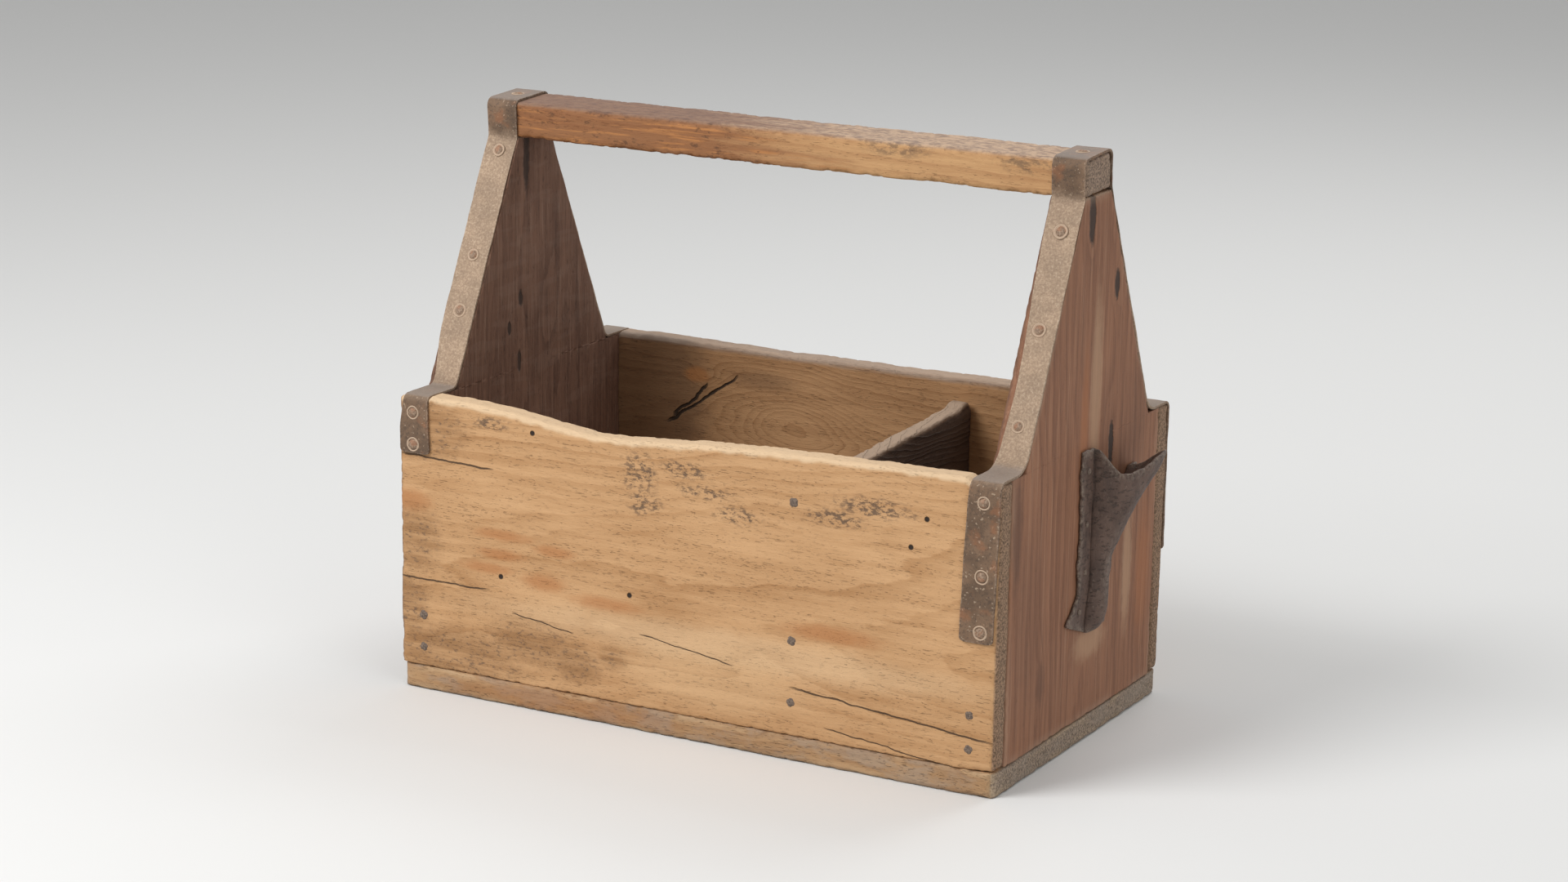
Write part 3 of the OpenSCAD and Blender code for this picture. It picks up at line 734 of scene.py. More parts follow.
def paint_right_end(bench, p):
    knots = (((66, RIGHT_FACE, -72), (26, 30, 9), 9), ((338, RIGHT_FACE, 40), (22, 30, 8), 10),
             ((390, RIGHT_FACE, -8), (30, 30, 8), 8), ((222, RIGHT_FACE, 38), (26, 30, 7), 7))
    wood = board_paint(bench, p, "z", RED_BROWN, DEEP_BROWN, heart=(330, 14), ring=6.5,
                       lean=(0.02, 0.03), wander=0.9, knots=knots, ring_depth=0.55, dash=0.35,
                       fibre=30.0)
    colour, height = wood["colour"], wood["height"]
    outer = p.axis("X").smooth(RIGHT_FACE - 7, RIGHT_FACE - 3)
    stripe = streaks(bench, wood["g"], 140.0, 2.6, detail=3)
    colour = bench.mix(stripe.smooth(0.52, 0.75) * 0.38, colour, (0.50, 0.30, 0.19))
    colour = bench.mix(stripe.smooth(0.47, 0.27) * 0.42, colour, (0.125, 0.058, 0.036))
    light = grow(patch(bench, p, (RIGHT_FACE, 8, 270), (14, 9, 62), blur=0.9, tear=0.25),
                 patch(bench, p, (RIGHT_FACE, 76, 118), (14, 8, 44), blur=1.0, tear=0.4),
                 patch(bench, p, (RIGHT_FACE, 12, 76), (14, 26, 12), blur=1.0, tear=0.5))
    colour = bench.mix(light * outer * 0.5, colour, (0.53, 0.34, 0.21))
    orange = grow(patch(bench, p, (RIGHT_FACE, 106, 108), (14, 12, 46), blur=1.1, tear=0.35),
                  patch(bench, p, (RIGHT_FACE, -10, 236), (14, 6, 58), blur=1.0, tear=0.3))
    colour = bench.mix(orange * outer * 0.5, colour, (0.42, 0.165, 0.07))
    dark = grow(patch(bench, p, (RIGHT_FACE, -118, 186), (14, 7, 44), blur=1.1, tear=0.4),
                patch(bench, p, (RIGHT_FACE, -94, 120), (14, 26, 60), blur=1.2, tear=0.4) * 0.4,
                patch(bench, p, (RIGHT_FACE, -72, 66), (14, 7, 15), blur=1.1, tear=0.5) * 0.7,
                patch(bench, p, (RIGHT_FACE, 88, 232), (14, 16, 50), blur=1.2, tear=0.4) * 0.35)
    colour = bench.mix(dark * outer * 0.6, colour, (0.10, 0.052, 0.036))
    gouges = grow(
        patch(bench, p, (RIGHT_FACE, -9, 394), (12, 5.5, 20), blur=0.5, tear=0.45, grain=6),
        patch(bench, p, (RIGHT_FACE, 39, 338), (12, 4, 11), blur=0.4, tear=0.4, grain=6),
        patch(bench, p, (RIGHT_FACE, 38, 219), (12, 4, 17), blur=0.4, tear=0.6, grain=5))
    colour = bench.mix(gouges * outer * 0.92, colour, (0.035, 0.023, 0.018))
    pale_edge = bench.attribute("edge") * wood["cloud"].smooth(0.35, 0.6) * outer
    colour = bench.mix(pale_edge * 0.3, colour, (0.50, 0.36, 0.26))
    # Painted shade: the inner face of the end board is darkened.
    inside = p.axis("X").smooth(RIGHT_FACE - END_THICK + 3, RIGHT_FACE - END_THICK + 1)
    colour = bench.mix(inside * 0.6, colour, (0.115, 0.062, 0.04))
    return bare_wood(colour, height - gouges * outer * 4, rough=0.68, depth=0.35)


def paint_left_end(bench, p):
    knots = (((262, -HALF_LENGTH, 22), (40, 40, 16), 14),
             ((225, -HALF_LENGTH, 30), (24, 40, 9), -9))
    wood = board_paint(bench, p, "z", (0.25, 0.135, 0.088), (0.115, 0.058, 0.038), heart=(-320, 20),
                       ring=5.5, lean=(0.02, -0.02), wander=1.1, knots=knots, ring_depth=0.6,
                       dash=0.7, fibre=16.0)
    colour, height = wood["colour"], wood["height"]
    stripe = streaks(bench, wood["g"], 60.0, 2.4, detail=4)
    colour = bench.mix(stripe.smooth(0.52, 0.72) * 0.5, colour, (0.33, 0.215, 0.155))
    colour = bench.mix(stripe.smooth(0.46, 0.3) * 0.5, colour, (0.07, 0.038, 0.028))
    waves = bench.noise(p.stretched(1 / 60, 1 / 40, 1 / 9), detail=2).smooth(0.5, 0.62)
    colour = bench.mix(waves * 0.14, colour, (0.30, 0.20, 0.15))
    spots = grow(patch(bench, p, (-223, -20, 283), (14, 3, 6), tear=0.5, grain=5),
                 patch(bench, p, (-223, -22, 234), (14, 2.5, 8), tear=0.5, grain=5),
                 patch(bench, p, (-223, -36, 262), (14, 2.5, 5), tear=0.5, grain=5),
                 patch(bench, p, (-223, -12, 392), (14, 4, 26), tear=0.5, grain=8))
    colour = bench.mix(spots * 0.8, colour, (0.03, 0.02, 0.016))
    return bare_wood(colour, height + stripe * 0.6 - spots * 2, rough=0.8, depth=0.55)


RIGHT_END_FINISH = new_finish("right_end_wood", paint_right_end)
LEFT_END_FINISH = new_finish("left_end_wood", paint_left_end)

# %% Paint the bottom board, the divider and the handle
def paint_bottom(bench, p):
    wood = board_paint(bench, p, "x", (0.52, 0.32, 0.165), (0.27, 0.145, 0.07), heart=(40, -60),
                       ring=4.0, wander=1.2, dash=0.8, end_colour=(0.335, 0.255, 0.19))
    colour, height = wood["colour"], wood["height"]
    weather = bench.noise(p.stretched(1 / 34, 1 / 34, 1 / 12), detail=4, roughness=0.6)
    edge = bench.attribute("edge")
    colour = bench.mix((weather.smooth(0.42, 0.62)) * 0.45, colour, GREY_WOOD)
    reddish = patch(bench, p, (-110, -HALF_WIDTH, 9), (85, 18, 9), blur=1.2, tear=0.5)
    colour = bench.mix(reddish * 0.5, colour, (0.36, 0.155, 0.055))
    colour = bench.mix(edge * weather.smooth(0.5, 0.36) * 0.5, colour, (0.62, 0.46, 0.29))
    # Painted shade: the top face inside the box is darkened.
    inside = p.axis("Z").smooth(FLOOR_TOP - 2, FLOOR_TOP - 0.5)
    well = p.axis("Y").apply("ABSOLUTE").smooth(INNER_HALF + 1, INNER_HALF - 3)
    colour = bench.mix(inside * well * 0.6, colour, (0.13, 0.088, 0.06))
    under = p.axis("Z").smooth(2.5, 0.5)
    colour = bench.mix(under * 0.6, colour, (0.22, 0.165, 0.12))
    return bare_wood(colour, height + weather, rough=0.85, depth=0.6)


def paint_divider(bench, p):
    wood = board_paint(bench, p, "y", (0.155, 0.108, 0.08), (0.075, 0.05, 0.038), heart=(150, 60),
                       ring=4.2, lean=(0.08, 0.02), wander=1.4, ring_depth=0.7, dash=0.7,
                       end_colour=(0.12, 0.09, 0.07))
    colour, height = wood["colour"], wood["height"]
    top = bench.attribute("below_rim")
    worn = (top + (wood["broad"] - 0.5) * 5).smooth(4.5, 1.0)
    colour = bench.mix(worn * 0.85, colour, (0.43, 0.31, 0.22))
    colour = bench.mix(worn * wood["dashes"] * 0.6, colour, (0.15, 0.10, 0.07))
    return bare_wood(colour, height + wood["late"], depth=0.7)


HAND_DARK = (0.205, 0.072, 0.028)


def paint_handle(bench, p):
    wood = board_paint(bench, p, "x", (0.62, 0.37, 0.175), (0.36, 0.175, 0.075), heart=(60, 360),
                       ring=4.6, lean=(0.0, 0.04), wander=0.8, dash=0.55,
                       end_colour=(0.30, 0.21, 0.15))
    colour, height = wood["colour"], wood["height"]
    run = p.axis("X") + (wood["broad"] - 0.5) * 240 + (wood["cloud"] - 0.5) * 120
    dark_end = run.smooth(60, -70)
    colour = bench.mix(dark_end * 0.78, colour, HAND_DARK)
    flame = streaks(bench, wood["g"], 60.0, 3.2, detail=3)
    colour = bench.mix(dark_end * flame.smooth(0.5, 0.68) * 0.75, colour, (0.52, 0.225, 0.075))
    speck = bench.noise(p.stretched(1 / 9, 1 / 4, 1 / 4), detail=4, roughness=0.7)
    colour = bench.mix(dark_end * speck.smooth(0.55, 0.68) * 0.6, colour, (0.06, 0.03, 0.02))
    smudge = grow(patch(bench, p, (100, -SLOPE_HEAD, 431), (26, 12, 6), blur=1.0, tear=0.5),
                  patch(bench, p, (205, -SLOPE_HEAD, 428), (22, 12, 5), blur=1.0, tear=0.5))
    colour = bench.mix(smudge * speck.smooth(0.42, 0.6) * 0.7, colour, (0.15, 0.095, 0.06))
    top = p.axis("Z").smooth(BAR_TOP - 4, BAR_TOP - 1)
    grey = bench.mix(speck.smooth(0.4, 0.62), (0.53, 0.38, 0.27), (0.25, 0.185, 0.155))
    colour = bench.mix(top * (0.85 - dark_end * 0.35), colour, grey)
    colour = bench.mix(top * dark_end * 0.6, colour, (0.15, 0.085, 0.065))
    return bare_wood(colour, height, rough=0.55 + wood["fine"] * 0.25, depth=0.4)


BOTTOM_FINISH = new_finish("bottom_wood", paint_bottom)
DIVIDER_FINISH = new_finish("divider_wood", paint_divider)
HANDLE_FINISH = new_finish("handle_wood", paint_handle)

# %% [markdown]
# ## The boards
#
# Each board is now cut from a block. The side boards have a rim that is worn down left of the
# middle, where an arm reached in for a hundred years: the dip follows a bell curve, which looks
# right because wear is deepest in one place and fades out both ways.

# %% Shape the side boards
WEAR_PLACE = -0.15 * 2 * HALF_LENGTH
WEAR_REACH = (0.14 * 2 * HALF_LENGTH, 0.2 * 2 * HALF_LENGTH)
GRID = 2.2
EDGE = 4.0


def rim_wear(x, depth):
    """How deep the rim is worn at each place along the box."""
    reach = np.where(x < WEAR_PLACE, *WEAR_REACH)
    limit = np.where(x < WEAR_PLACE, -SEAT_END, SEAT_END)
    here = 1 / (1 + ((x - WEAR_PLACE) / reach) ** 2)
    edge = 1 / (1 + ((limit - WEAR_PLACE) / reach) ** 2)
    return depth * np.maximum(0, (here - edge) / (1 - edge))


def finished(name, points, faces, gap, end, finish, seed, extra=None, chip=0.9, dent=0.9):
    """Keeps the numbers that the finishes read, runs the weathering and returns the piece."""
    numbers = {"edge": np.clip(1 - gap / 7, 0, 1), "end": end}
    numbers.update(extra or {})
    settings = {"Chip depth": chip, "Chip size": 6.5, "Dent depth": dent, "Seed": float(seed),
                "Finish": finish}
    return run_tree(WEATHERING, mesh_piece(name, points, faces, numbers), settings)


def side_board(name, side, depth, finish, seed):
    """A side board: side is -1 for the front and 1 for the back."""
    outer, inner = side * HALF_WIDTH, side * (HALF_WIDTH - SIDE_THICK)
    low = np.array([-HALF_LENGTH, min(outer, inner), FLOOR_TOP])
    high = np.array([HALF_LENGTH, max(outer, inner), RIM + RIM_STAND])
    lines = [marks(low[k], high[k], GRID, EDGE) for k in range(3)]
    points, faces = skin(*lines)
    gap = edge_gap(points, low, high)
    radius = 2.0 + 0.9 * ragged(points, 26, seed)
    fraction = (points[:, 2] - low[2]) / (high[2] - low[2])
    right_foot = np.clip((points[:, 0] - HALF_LENGTH + 30) / 20, 0, 1) * (1 - fraction)
    radius = np.clip(radius + 3.0 * right_foot + 0.8 * (fraction > 0.9), 0.6, 6.5)
    shaped = points.copy()
    lowered = np.where(np.abs(points[:, 0]) > SEAT_END, RIM_STAND, rim_wear(points[:, 0], depth))
    ripple = 0.7 * ragged(points * [1, 0, 0], 24, seed + 3) * (np.abs(points[:, 0]) < SEAT_END - 6)
    top = high[2] - lowered + ripple
    shaped[:, 2] = low[2] + fraction * (top - low[2])
    below = (top - shaped[:, 2])
    shaped += rounding(points, low, high, radius)
    end = np.clip(1.3 - (HALF_LENGTH - np.abs(points[:, 0])) / 1.6, 0, 1)
    return finished(name, shaped, faces, gap, end, finish, seed, {"below_rim": below})


front = side_board("front_board_worn", -1, 11.0, FRONT_FINISH, 1)
back = side_board("back_board_worn", 1, 1.0, BACK_FINISH, 2)
for board, node in ((front, "front_board"), (back, "back_board")):
    stand_in(board, node)

# %% Shape the end boards
def end_board(name, side, finish, seed):
    """An end board with its gable: the width of the block follows the height."""
    outer, inner = side * HALF_LENGTH, side * (HALF_LENGTH - END_THICK)
    low = np.array([min(outer, inner), -INNER_HALF, FLOOR_TOP])
    high = np.array([max(outer, inner), INNER_HALF, GABLE_TOP])
    seam = np.array([RIM - 0.01, RIM + 0.01])
    lower = marks(low[2], RIM, GRID, EDGE)
    upper = marks(RIM, high[2], GRID, EDGE)
    heights = np.concatenate([lower[:-1], seam, upper[1:]])
    lines = [marks(low[0], high[0], GRID, EDGE), marks(low[1], high[1], GRID, EDGE), heights]
    points, faces = skin(*lines)
    gap = edge_gap(points, low, high)
    share = np.clip((points[:, 2] - RIM) / (GABLE_TOP - RIM), 0, 1)
    half = np.where(points[:, 2] > RIM, SLOPE_FOOT + (SLOPE_HEAD - SLOPE_FOOT) * share, INNER_HALF)
    shaped = points.copy()
    shaped[:, 1] *= half / INNER_HALF
    radius = np.clip(1.3 + 0.6 * ragged(points, 22, seed), 0.4, 3.0)
    shaped += rounding(points, low, high, radius)
    end = np.clip(1.3 - (GABLE_TOP - points[:, 2]) / 1.6, 0, 1)
    return finished(name, shaped, faces, gap, end, finish, seed, chip=0.6, dent=0.8)


left_end = end_board("left_end_worn", -1, LEFT_END_FINISH, 4)
right_end = end_board("right_end_worn", 1, RIGHT_END_FINISH, 5)
for board, node in ((left_end, "left_end_board"), (right_end, "right_end_board")):
    stand_in(board, node)

# %% Shape the bottom board
def bottom_board():
    low, high = span("bottom_board")
    lines = [marks(low[k], high[k], 3.0, EDGE) for k in range(3)]
    points, faces = skin(*lines)
    gap = edge_gap(points, low, high)
    radius = np.clip(3.2 + 1.6 * ragged(points, 30, 6), 1.2, 7.0)
    shaped = points + rounding(points, low, high, radius)
    # The upright corners are worn much rounder than the long edges
    corner = 9.0
    out = np.abs(shaped[:, :2]) - (np.array(high[:2]) - corner)
    both = (out > 0).all(axis=1)
    far = np.linalg.norm(np.maximum(out, 0), axis=1)
    pull = np.where(both & (far > corner), corner / np.maximum(far, 1e-6), 1.0)
    for k in range(2):
        inner = np.sign(shaped[:, k]) * (high[k] - corner)
        shaped[:, k] = np.where(both, inner + (shaped[:, k] - inner) * pull, shaped[:, k])
    end = np.clip(1.3 - (high[0] - np.abs(points[:, 0])) / 1.6, 0, 1)
    return finished("bottom_board_worn", shaped, faces, gap, end, BOTTOM_FINISH, 7, chip=1.0)


bottom = bottom_board()
stand_in(bottom, "bottom_board")

# %% [markdown]
# The divider's top edge climbs to the back and ends in a small worn horn. The handle is a plain
# bar with soft edges, and it has rolled by about three degrees towards the front. One function
# turns everything above the gables by that angle, so that the bar, the iron over it and the nails
# in it stay together.

# %% Shape the divider and the handle
BAR_ROLL = math.radians(3.0)


def settled(points):
    """Turns points above the gables by the bar's roll. Lower down the turn fades out."""
    share = np.clip((points[:, 2] - (GABLE_TOP - 14)) / 14, 0, 1)
    angle = BAR_ROLL * share * share * (3 - 2 * share)
    y, z = points[:, 1], points[:, 2] - GABLE_TOP
    turned = points.copy()
    turned[:, 1] = y * np.cos(angle) - z * np.sin(angle)
    turned[:, 2] = GABLE_TOP + y * np.sin(angle) + z * np.cos(angle)
    return turned


def divider_board():
    low, high = DIVIDER_LOW, DIVIDER_HIGH
    lines = [marks(low[k], high[k], 2.0, 3.0) for k in range(3)]
    points, faces = skin(*lines)
    gap = edge_gap(points, low, high)
    share = (points[:, 1] - low[1]) / (high[1] - low[1])
    horn = 3.0 * np.clip((share - 0.92) / 0.03, 0, 1)
    corner = 7.0 * np.clip((share - 0.97) / 0.03, 0, 1) ** 2
    top = high[2] - 12 + 9 * np.minimum(share / 0.92, 1) + horn - corner
    top += 0.7 * ragged(points * [0, 1, 0], 22, 8)
    shaped = points.copy()
    fraction = (points[:, 2] - low[2]) / (high[2] - low[2])
    shaped[:, 2] = low[2] + fraction * (top - low[2])
    shaped += rounding(points, low, high, np.clip(2.2 + ragged(points, 18, 9), 0.8, 4))
    below = top - low[2] - fraction * (top - low[2])
    end = np.clip(1.3 - (high[1] - np.abs(points[:, 1])) / 1.6, 0, 1)
    return finished("divider_worn", shaped, faces, gap, end, DIVIDER_FINISH, 9,
                    {"below_rim": below}, dent=1.2)


def handle_bar():
    low, high = BAR_LOW, BAR_HIGH
    lines = [marks(low[k], high[k], 1.8, 6.0) for k in range(3)]
    points, faces = skin(*lines)
    gap = edge_gap(points, low, high)
    radius = np.clip(3.6 + 1.7 * ragged(points * [1, 0.4, 0.4], 26, 10), 1.4, 6.5)
    shaped = points + rounding(points, low, high, radius)
    middle = np.clip((SEAT_END - np.abs(points[:, 0])) / 10, 0, 1)
    shaped[:, 2] += middle * 0.8 * ragged(points * [1, 0, 0.1], 60, 11)
    shaped[:, 1] += middle * 0.6 * ragged(points * [1, 0.1, 0], 70, 12)
    end = np.clip(1.3 - (high[0] - np.abs(points[:, 0])) / 1.6, 0, 1)
    return finished("handle_worn", settled(shaped), faces, gap, end, HANDLE_FINISH, 11,
                    chip=1.3, dent=0.8)


divider = divider_board()
stand_in(divider, "divider")
handle = handle_bar()
stand_in(handle, "handle_bar")

# %% [markdown]
# ## Iron
#
# Old hoop iron is brown with rust and pitted like orange peel. On the slopes it is rubbed and
# dusty, so it is a light sandy grey there; on the legs and round the handle the rust is dark with
# light specks. Bare metal hardly shows, so the finish is rough and only slightly metallic.

# %% Paint the straps and the nails
IRON_LIGHT = (0.44, 0.315, 0.215)
IRON_DARK = (0.205, 0.125, 0.075)
IRON_GREY = (0.30, 0.255, 0.225)


def paint_strap(bench, p):
    sand = bench.noise(p.stretched(1 / 1.7, 1 / 1.7, 1 / 1.7), detail=4, roughness=0.72)
    cloud = bench.noise(p.stretched(1 / 26, 1 / 26, 1 / 26), detail=4, roughness=0.6)
    height_on_box = p.axis("Z") + (cloud - 0.5) * 16
    slope = height_on_box.smooth(RIM - 4, RIM + 8)
    slope = slope * height_on_box.smooth(GABLE_TOP + 8, GABLE_TOP - 6)
    light = bench.mix(cloud.smooth(0.35, 0.65), IRON_LIGHT, tuple(c * 0.78 for c in IRON_LIGHT))
    light = bench.mix(sand.smooth(0.56, 0.40) * 0.5, light, (0.20, 0.13, 0.085))
    light = bench.mix(sand.smooth(0.55, 0.68) * 0.5, light, (0.62, 0.49, 0.37))
    dark = bench.mix(cloud.smooth(0.38, 0.62), IRON_DARK, tuple(c * 0.62 for c in IRON_DARK))
    dark = bench.mix(sand.smooth(0.5, 0.36) * 0.6, dark, (0.055, 0.035, 0.025))
    specks = bench.noise(p.stretched(1 / 2.4, 1 / 2.4, 1 / 2.4), detail=2).smooth(0.63, 0.70)
    dark = bench.mix(specks * 0.6, dark, (0.50, 0.38, 0.27))
    rust = bench.noise(p.moved(0, 0, 40).stretched(1 / 15, 1 / 15, 1 / 15), detail=4)
    rust = rust.smooth(0.56, 0.70)
    dark = bench.mix(rust * 0.5, dark, (0.30, 0.12, 0.05))
    colour = bench.mix(slope, dark, light)
    normal_up = bench.node("ShaderNodeTexCoord", {}, {}, "Normal").axis("Z")
    flat_top = normal_up.smooth(0.75, 0.97)
    colour = bench.mix(flat_top * 0.55, colour, IRON_GREY)
    edge = bench.attribute("edge")
    colour = bench.mix(edge * sand.smooth(0.42, 0.62) * 0.35, colour, (0.52, 0.42, 0.33))
    height = sand * 0.9 + cloud * 0.6 + specks * 0.4
    return {"Base Color": colour, "Roughness": 0.62 + sand * 0.25, "Metallic": 0.12 + slope * 0.08,
            "height": height, "depth": 0.28}


def iron_head(colour, roughness, sand):
    """The inputs of a forged head's shader."""
    return {"Base Color": colour, "Roughness": roughness, "Metallic": 0.15, "height": sand,
            "depth": 0.25}


def paint_nail(bench, p):
    sand = bench.noise(p.stretched(1 / 1.1, 1 / 1.1, 1 / 1.1), detail=4, roughness=0.7)
    colour = bench.mix(sand.smooth(0.35, 0.65), (0.085, 0.06, 0.048), (0.24, 0.175, 0.13))
    return iron_head(colour, 0.72, sand)


def paint_strap_nail(bench, p):
    sand = bench.noise(p.stretched(1 / 1.1, 1 / 1.1, 1 / 1.1), detail=4, roughness=0.7)
    rust = bench.noise(p.stretched(1 / 5, 1 / 5, 1 / 5), detail=3)
    colour = bench.mix(sand.smooth(0.35, 0.65), (0.17, 0.105, 0.065), (0.38, 0.27, 0.19))
    colour = bench.mix(rust.smooth(0.45, 0.62) * 0.5, colour, (0.34, 0.14, 0.065))
    ring = bench.attribute("ring")
    colour = bench.mix(ring * 0.8, colour, (0.55, 0.41, 0.295))
    return iron_head(colour, 0.68, sand)


STRAP_FINISH = new_finish("strap_iron", paint_strap)
NAIL_FINISH = new_finish("nail_iron", paint_nail)
STRAP_NAIL_FINISH = new_finish("strap_nail_iron", paint_strap_nail)

# %% [markdown]
# ### Bending the straps
#
# A smith cuts a flat band and bends it over the box. The model does the same: a flat bar with
# worn edges and a cut waist is made first, and a Geometry Nodes tree then bends it along a line
# that follows the wood: up the front, over the rim's eased edge, along the shoulder, up the slope
# and round the handle. The tree samples the line at each point's own length along the bar.

# %% The line that a strap follows
SEAT_GAP = 0.05
RIM_ROUND = 4.0
BAR_ROUND = 5.0


def strap_corners(leg, foot_radius):
    """The wood's outline under a strap as corners: across, up and the radius of each bend."""
    half = [(-HALF_WIDTH, RIM - leg, 0), (-HALF_WIDTH, RIM, RIM_ROUND),
            (-SLOPE_FOOT, RIM, foot_radius), (-SLOPE_HEAD, GABLE_TOP, 0.6),
            (-SLOPE_HEAD, BAR_TOP, BAR_ROUND)]
    return half + [(-y, z, r) for y, z, r in reversed(half)]


def rounded_line(corners, off):
    """A line that runs `off` outside the wood, with each corner's bend in small steps."""
    line = []
    places = [np.array(c[:2], float) for c in corners]
    for k, (y, z, radius) in enumerate(corners):
        here = places[k]
        if k in (0, len(corners) - 1):
            line.append(here + [off * (1 if k else -1), 0])
            continue
        before = (here - places[k - 1]) / np.linalg.norm(here - places[k - 1])
        after = (places[k + 1] - here) / np.linalg.norm(places[k + 1] - here)
        turn = math.atan2(before[0] * after[1] - before[1] * after[0], before @ after)
        side = math.copysign(1, turn)
        outward = np.array([-before[1], before[0]])
        start = here - before * radius * math.tan(abs(turn) / 2)
        middle = start + outward * side * radius
        for t in np.linspace(0, turn, max(3, math.ceil(abs(turn) / math.radians(7)))):
            arm = np.array([outward[0] * math.cos(t) - outward[1] * math.sin(t),
                            outward[0] * math.sin(t) + outward[1] * math.cos(t)])
            line.append(middle - (radius - side * off) * side * arm)
    return np.array(line)


def line_object(name, line):
    """A curve object through points given as across and up, at the box's middle."""
    curve = bpy.data.curves.new(name, "CURVE")
    curve.dimensions = "3D"
    spline = curve.splines.new("POLY")
    spline.points.add(len(line) - 1)
    for point, (y, z) in zip(spline.points, line):
        point.co = (0, y * MM, z * MM, 1)
    made = bpy.data.objects.new(name, curve)
    scene.collection.objects.link(made)
    return made


# %% The tree that bends a flat bar along a line
def bending_tree():
    tree, bench, given = new_tree("bend_along_line", {"Line": "Object", "Place": "Float",
                                                      "Pits": "Float", "Finish": "Material"})
    line = bench.node("GeometryNodeObjectInfo", {"transform_space": "RELATIVE"},
                      {"Object": given["Line"]}, "Geometry")
    flat = bench.node("GeometryNodeInputPosition", {}, {})
    sample = bench.node("GeometryNodeSampleCurve", {"mode": "LENGTH"},
                        {"Curves": line, "Length": flat.axis("X")}, "Position")
    tangent = Value(bench, sample.node, "Tangent")
    outward = tangent.vector_math("CROSS_PRODUCT", (1.0, 0.0, 0.0), tangent)
    wave = bench.noise(flat.stretched(28, 28, 28), detail=2) - 0.5
    pits = bench.noise(flat.stretched(180, 180, 180), detail=3).smooth(0.5, 0.7)
    lift = flat.axis("Z") + wave * (0.7 * MM) - pits * given["Pits"] * MM
    raised = outward.vector_math("SCALE", outward)
    bench.feed(raised.node.inputs["Scale"], lift)
    aside = bench.node("ShaderNodeCombineXYZ", {}, {"X": flat.axis("Y") + given["Place"]})
    total = raised.vector_math("ADD", raised.vector_math("ADD", raised, aside), sample)
    inputs = {"Geometry": given["Geometry"], "Position": total}
    end_tree(bench, bench.node("GeometryNodeSetPosition", {}, inputs), given["Finish"])
    return tree


BENDING = bending_tree()
print("bending tree has", len(BENDING.nodes), "nodes")

# %% [markdown]
# The flat bars differ: the right one has long legs and a waist on its inner edge, the left one
# short legs and a nick on its outer edge near the foot of the slope. The front legs of both lean
# in a little.

# %% Cut and bend both straps
LEG_LEAN = 0.03
STRAPS = {
    "left": {"side": -1, "leg": RIM - LEFT_STRAP_LOW[2], "radius": 9, "waist": (0.0, 5.0),
             "place": 0.03, "reach": 0.12, "seed": 21},
    "right": {"side": 1, "leg": RIM - STRAP_LOW[2], "radius": 22, "waist": (5.0, 0.0),
              "place": 0.31, "reach": 0.33, "seed": 22},
}


def strap(name, side, leg, radius, waist, place, reach, seed):
    """One bent strap. waist gives how much is cut away at the inner and at the outer edge."""
    middle = SEAT_GAP + STRAP_THICK / 2
    line = rounded_line(strap_corners(leg, radius), middle)
    steps = np.linalg.norm(np.diff(line, axis=0), axis=1)
    lengths = np.concatenate([[0], np.cumsum(steps)])
    low = np.array([0, -STRAP_WIDTH / 2, -STRAP_THICK / 2])
    high = np.array([lengths[-1], STRAP_WIDTH / 2, STRAP_THICK / 2])
    lines = [marks(low[0], high[0], 1.3, 3.0), marks(low[1], high[1], 1.5, 1.6),
             marks(low[2], high[2], 0.8, 0.5)]
    points, faces = skin(*lines)
    gap = edge_gap(points, low, high)
    shaped = points + rounding(points, low, high, 0.45)
    height = np.interp(points[:, 0], lengths, line[:, 1])
    rise = GABLE_TOP - RIM
    hollow = np.exp(-(((height - RIM) / rise - place) / reach) ** 2)
    y = shaped[:, 1] * side
    cut = np.where(y < 0, waist[0], -waist[1]) * hollow * np.abs(y) / (STRAP_WIDTH / 2)
    y = y + cut
    # The feet have rounded corners
    foot = np.minimum(points[:, 0], high[0] - points[:, 0])
    corner = 3.5
    inset = corner - np.sqrt(np.maximum(corner ** 2 - np.clip(corner - foot, 0, corner) ** 2, 0))
    y = y * (1 - inset / (STRAP_WIDTH / 2))
    y = y + 0.45 * ragged(points * [1, 0.05, 0], 20, seed) * np.abs(y) / (STRAP_WIDTH / 2)
    lean = LEG_LEAN * np.maximum(0, RIM - height) * (points[:, 0] < high[0] / 2)
    shaped[:, 1] = y * side - side * lean
    numbers = {"edge": np.clip(1 - gap / 1.5, 0, 1), "end": np.zeros(len(points))}
    guide = line_object(name + "_line", line)
    bar = mesh_piece(name, shaped, faces, numbers)
    settings = {"Line": guide, "Place": side * STRAP_MIDDLE * MM, "Pits": 0.18,
                "Finish": STRAP_FINISH}
    piece = run_tree(BENDING, bar, settings)
    bpy.data.objects.remove(guide)
    placed = np.array([v.co for v in piece.data.vertices]) / MM
    piece.data.vertices.foreach_set("co", (settled(placed) * MM).ravel())
    piece.data.update()
    return piece


for key, sizes in STRAPS.items():
    bent = strap(f"{key}_strap_bent", **sizes)
    stand_in(bent, f"{key}_strap")

# %% [markdown]
# ## Nails
#
# There are sixty nails and tacks, in three kinds: four-sided heads sunk a little in the wood,
# round heads in the straps, each in a ring of iron that the hammer pushed up, and small domed
# tacks in the leather. One head of each kind is modelled with few faces, and a Geometry Nodes
# tree puts a copy on every nail's place, turned and sized a little differently.

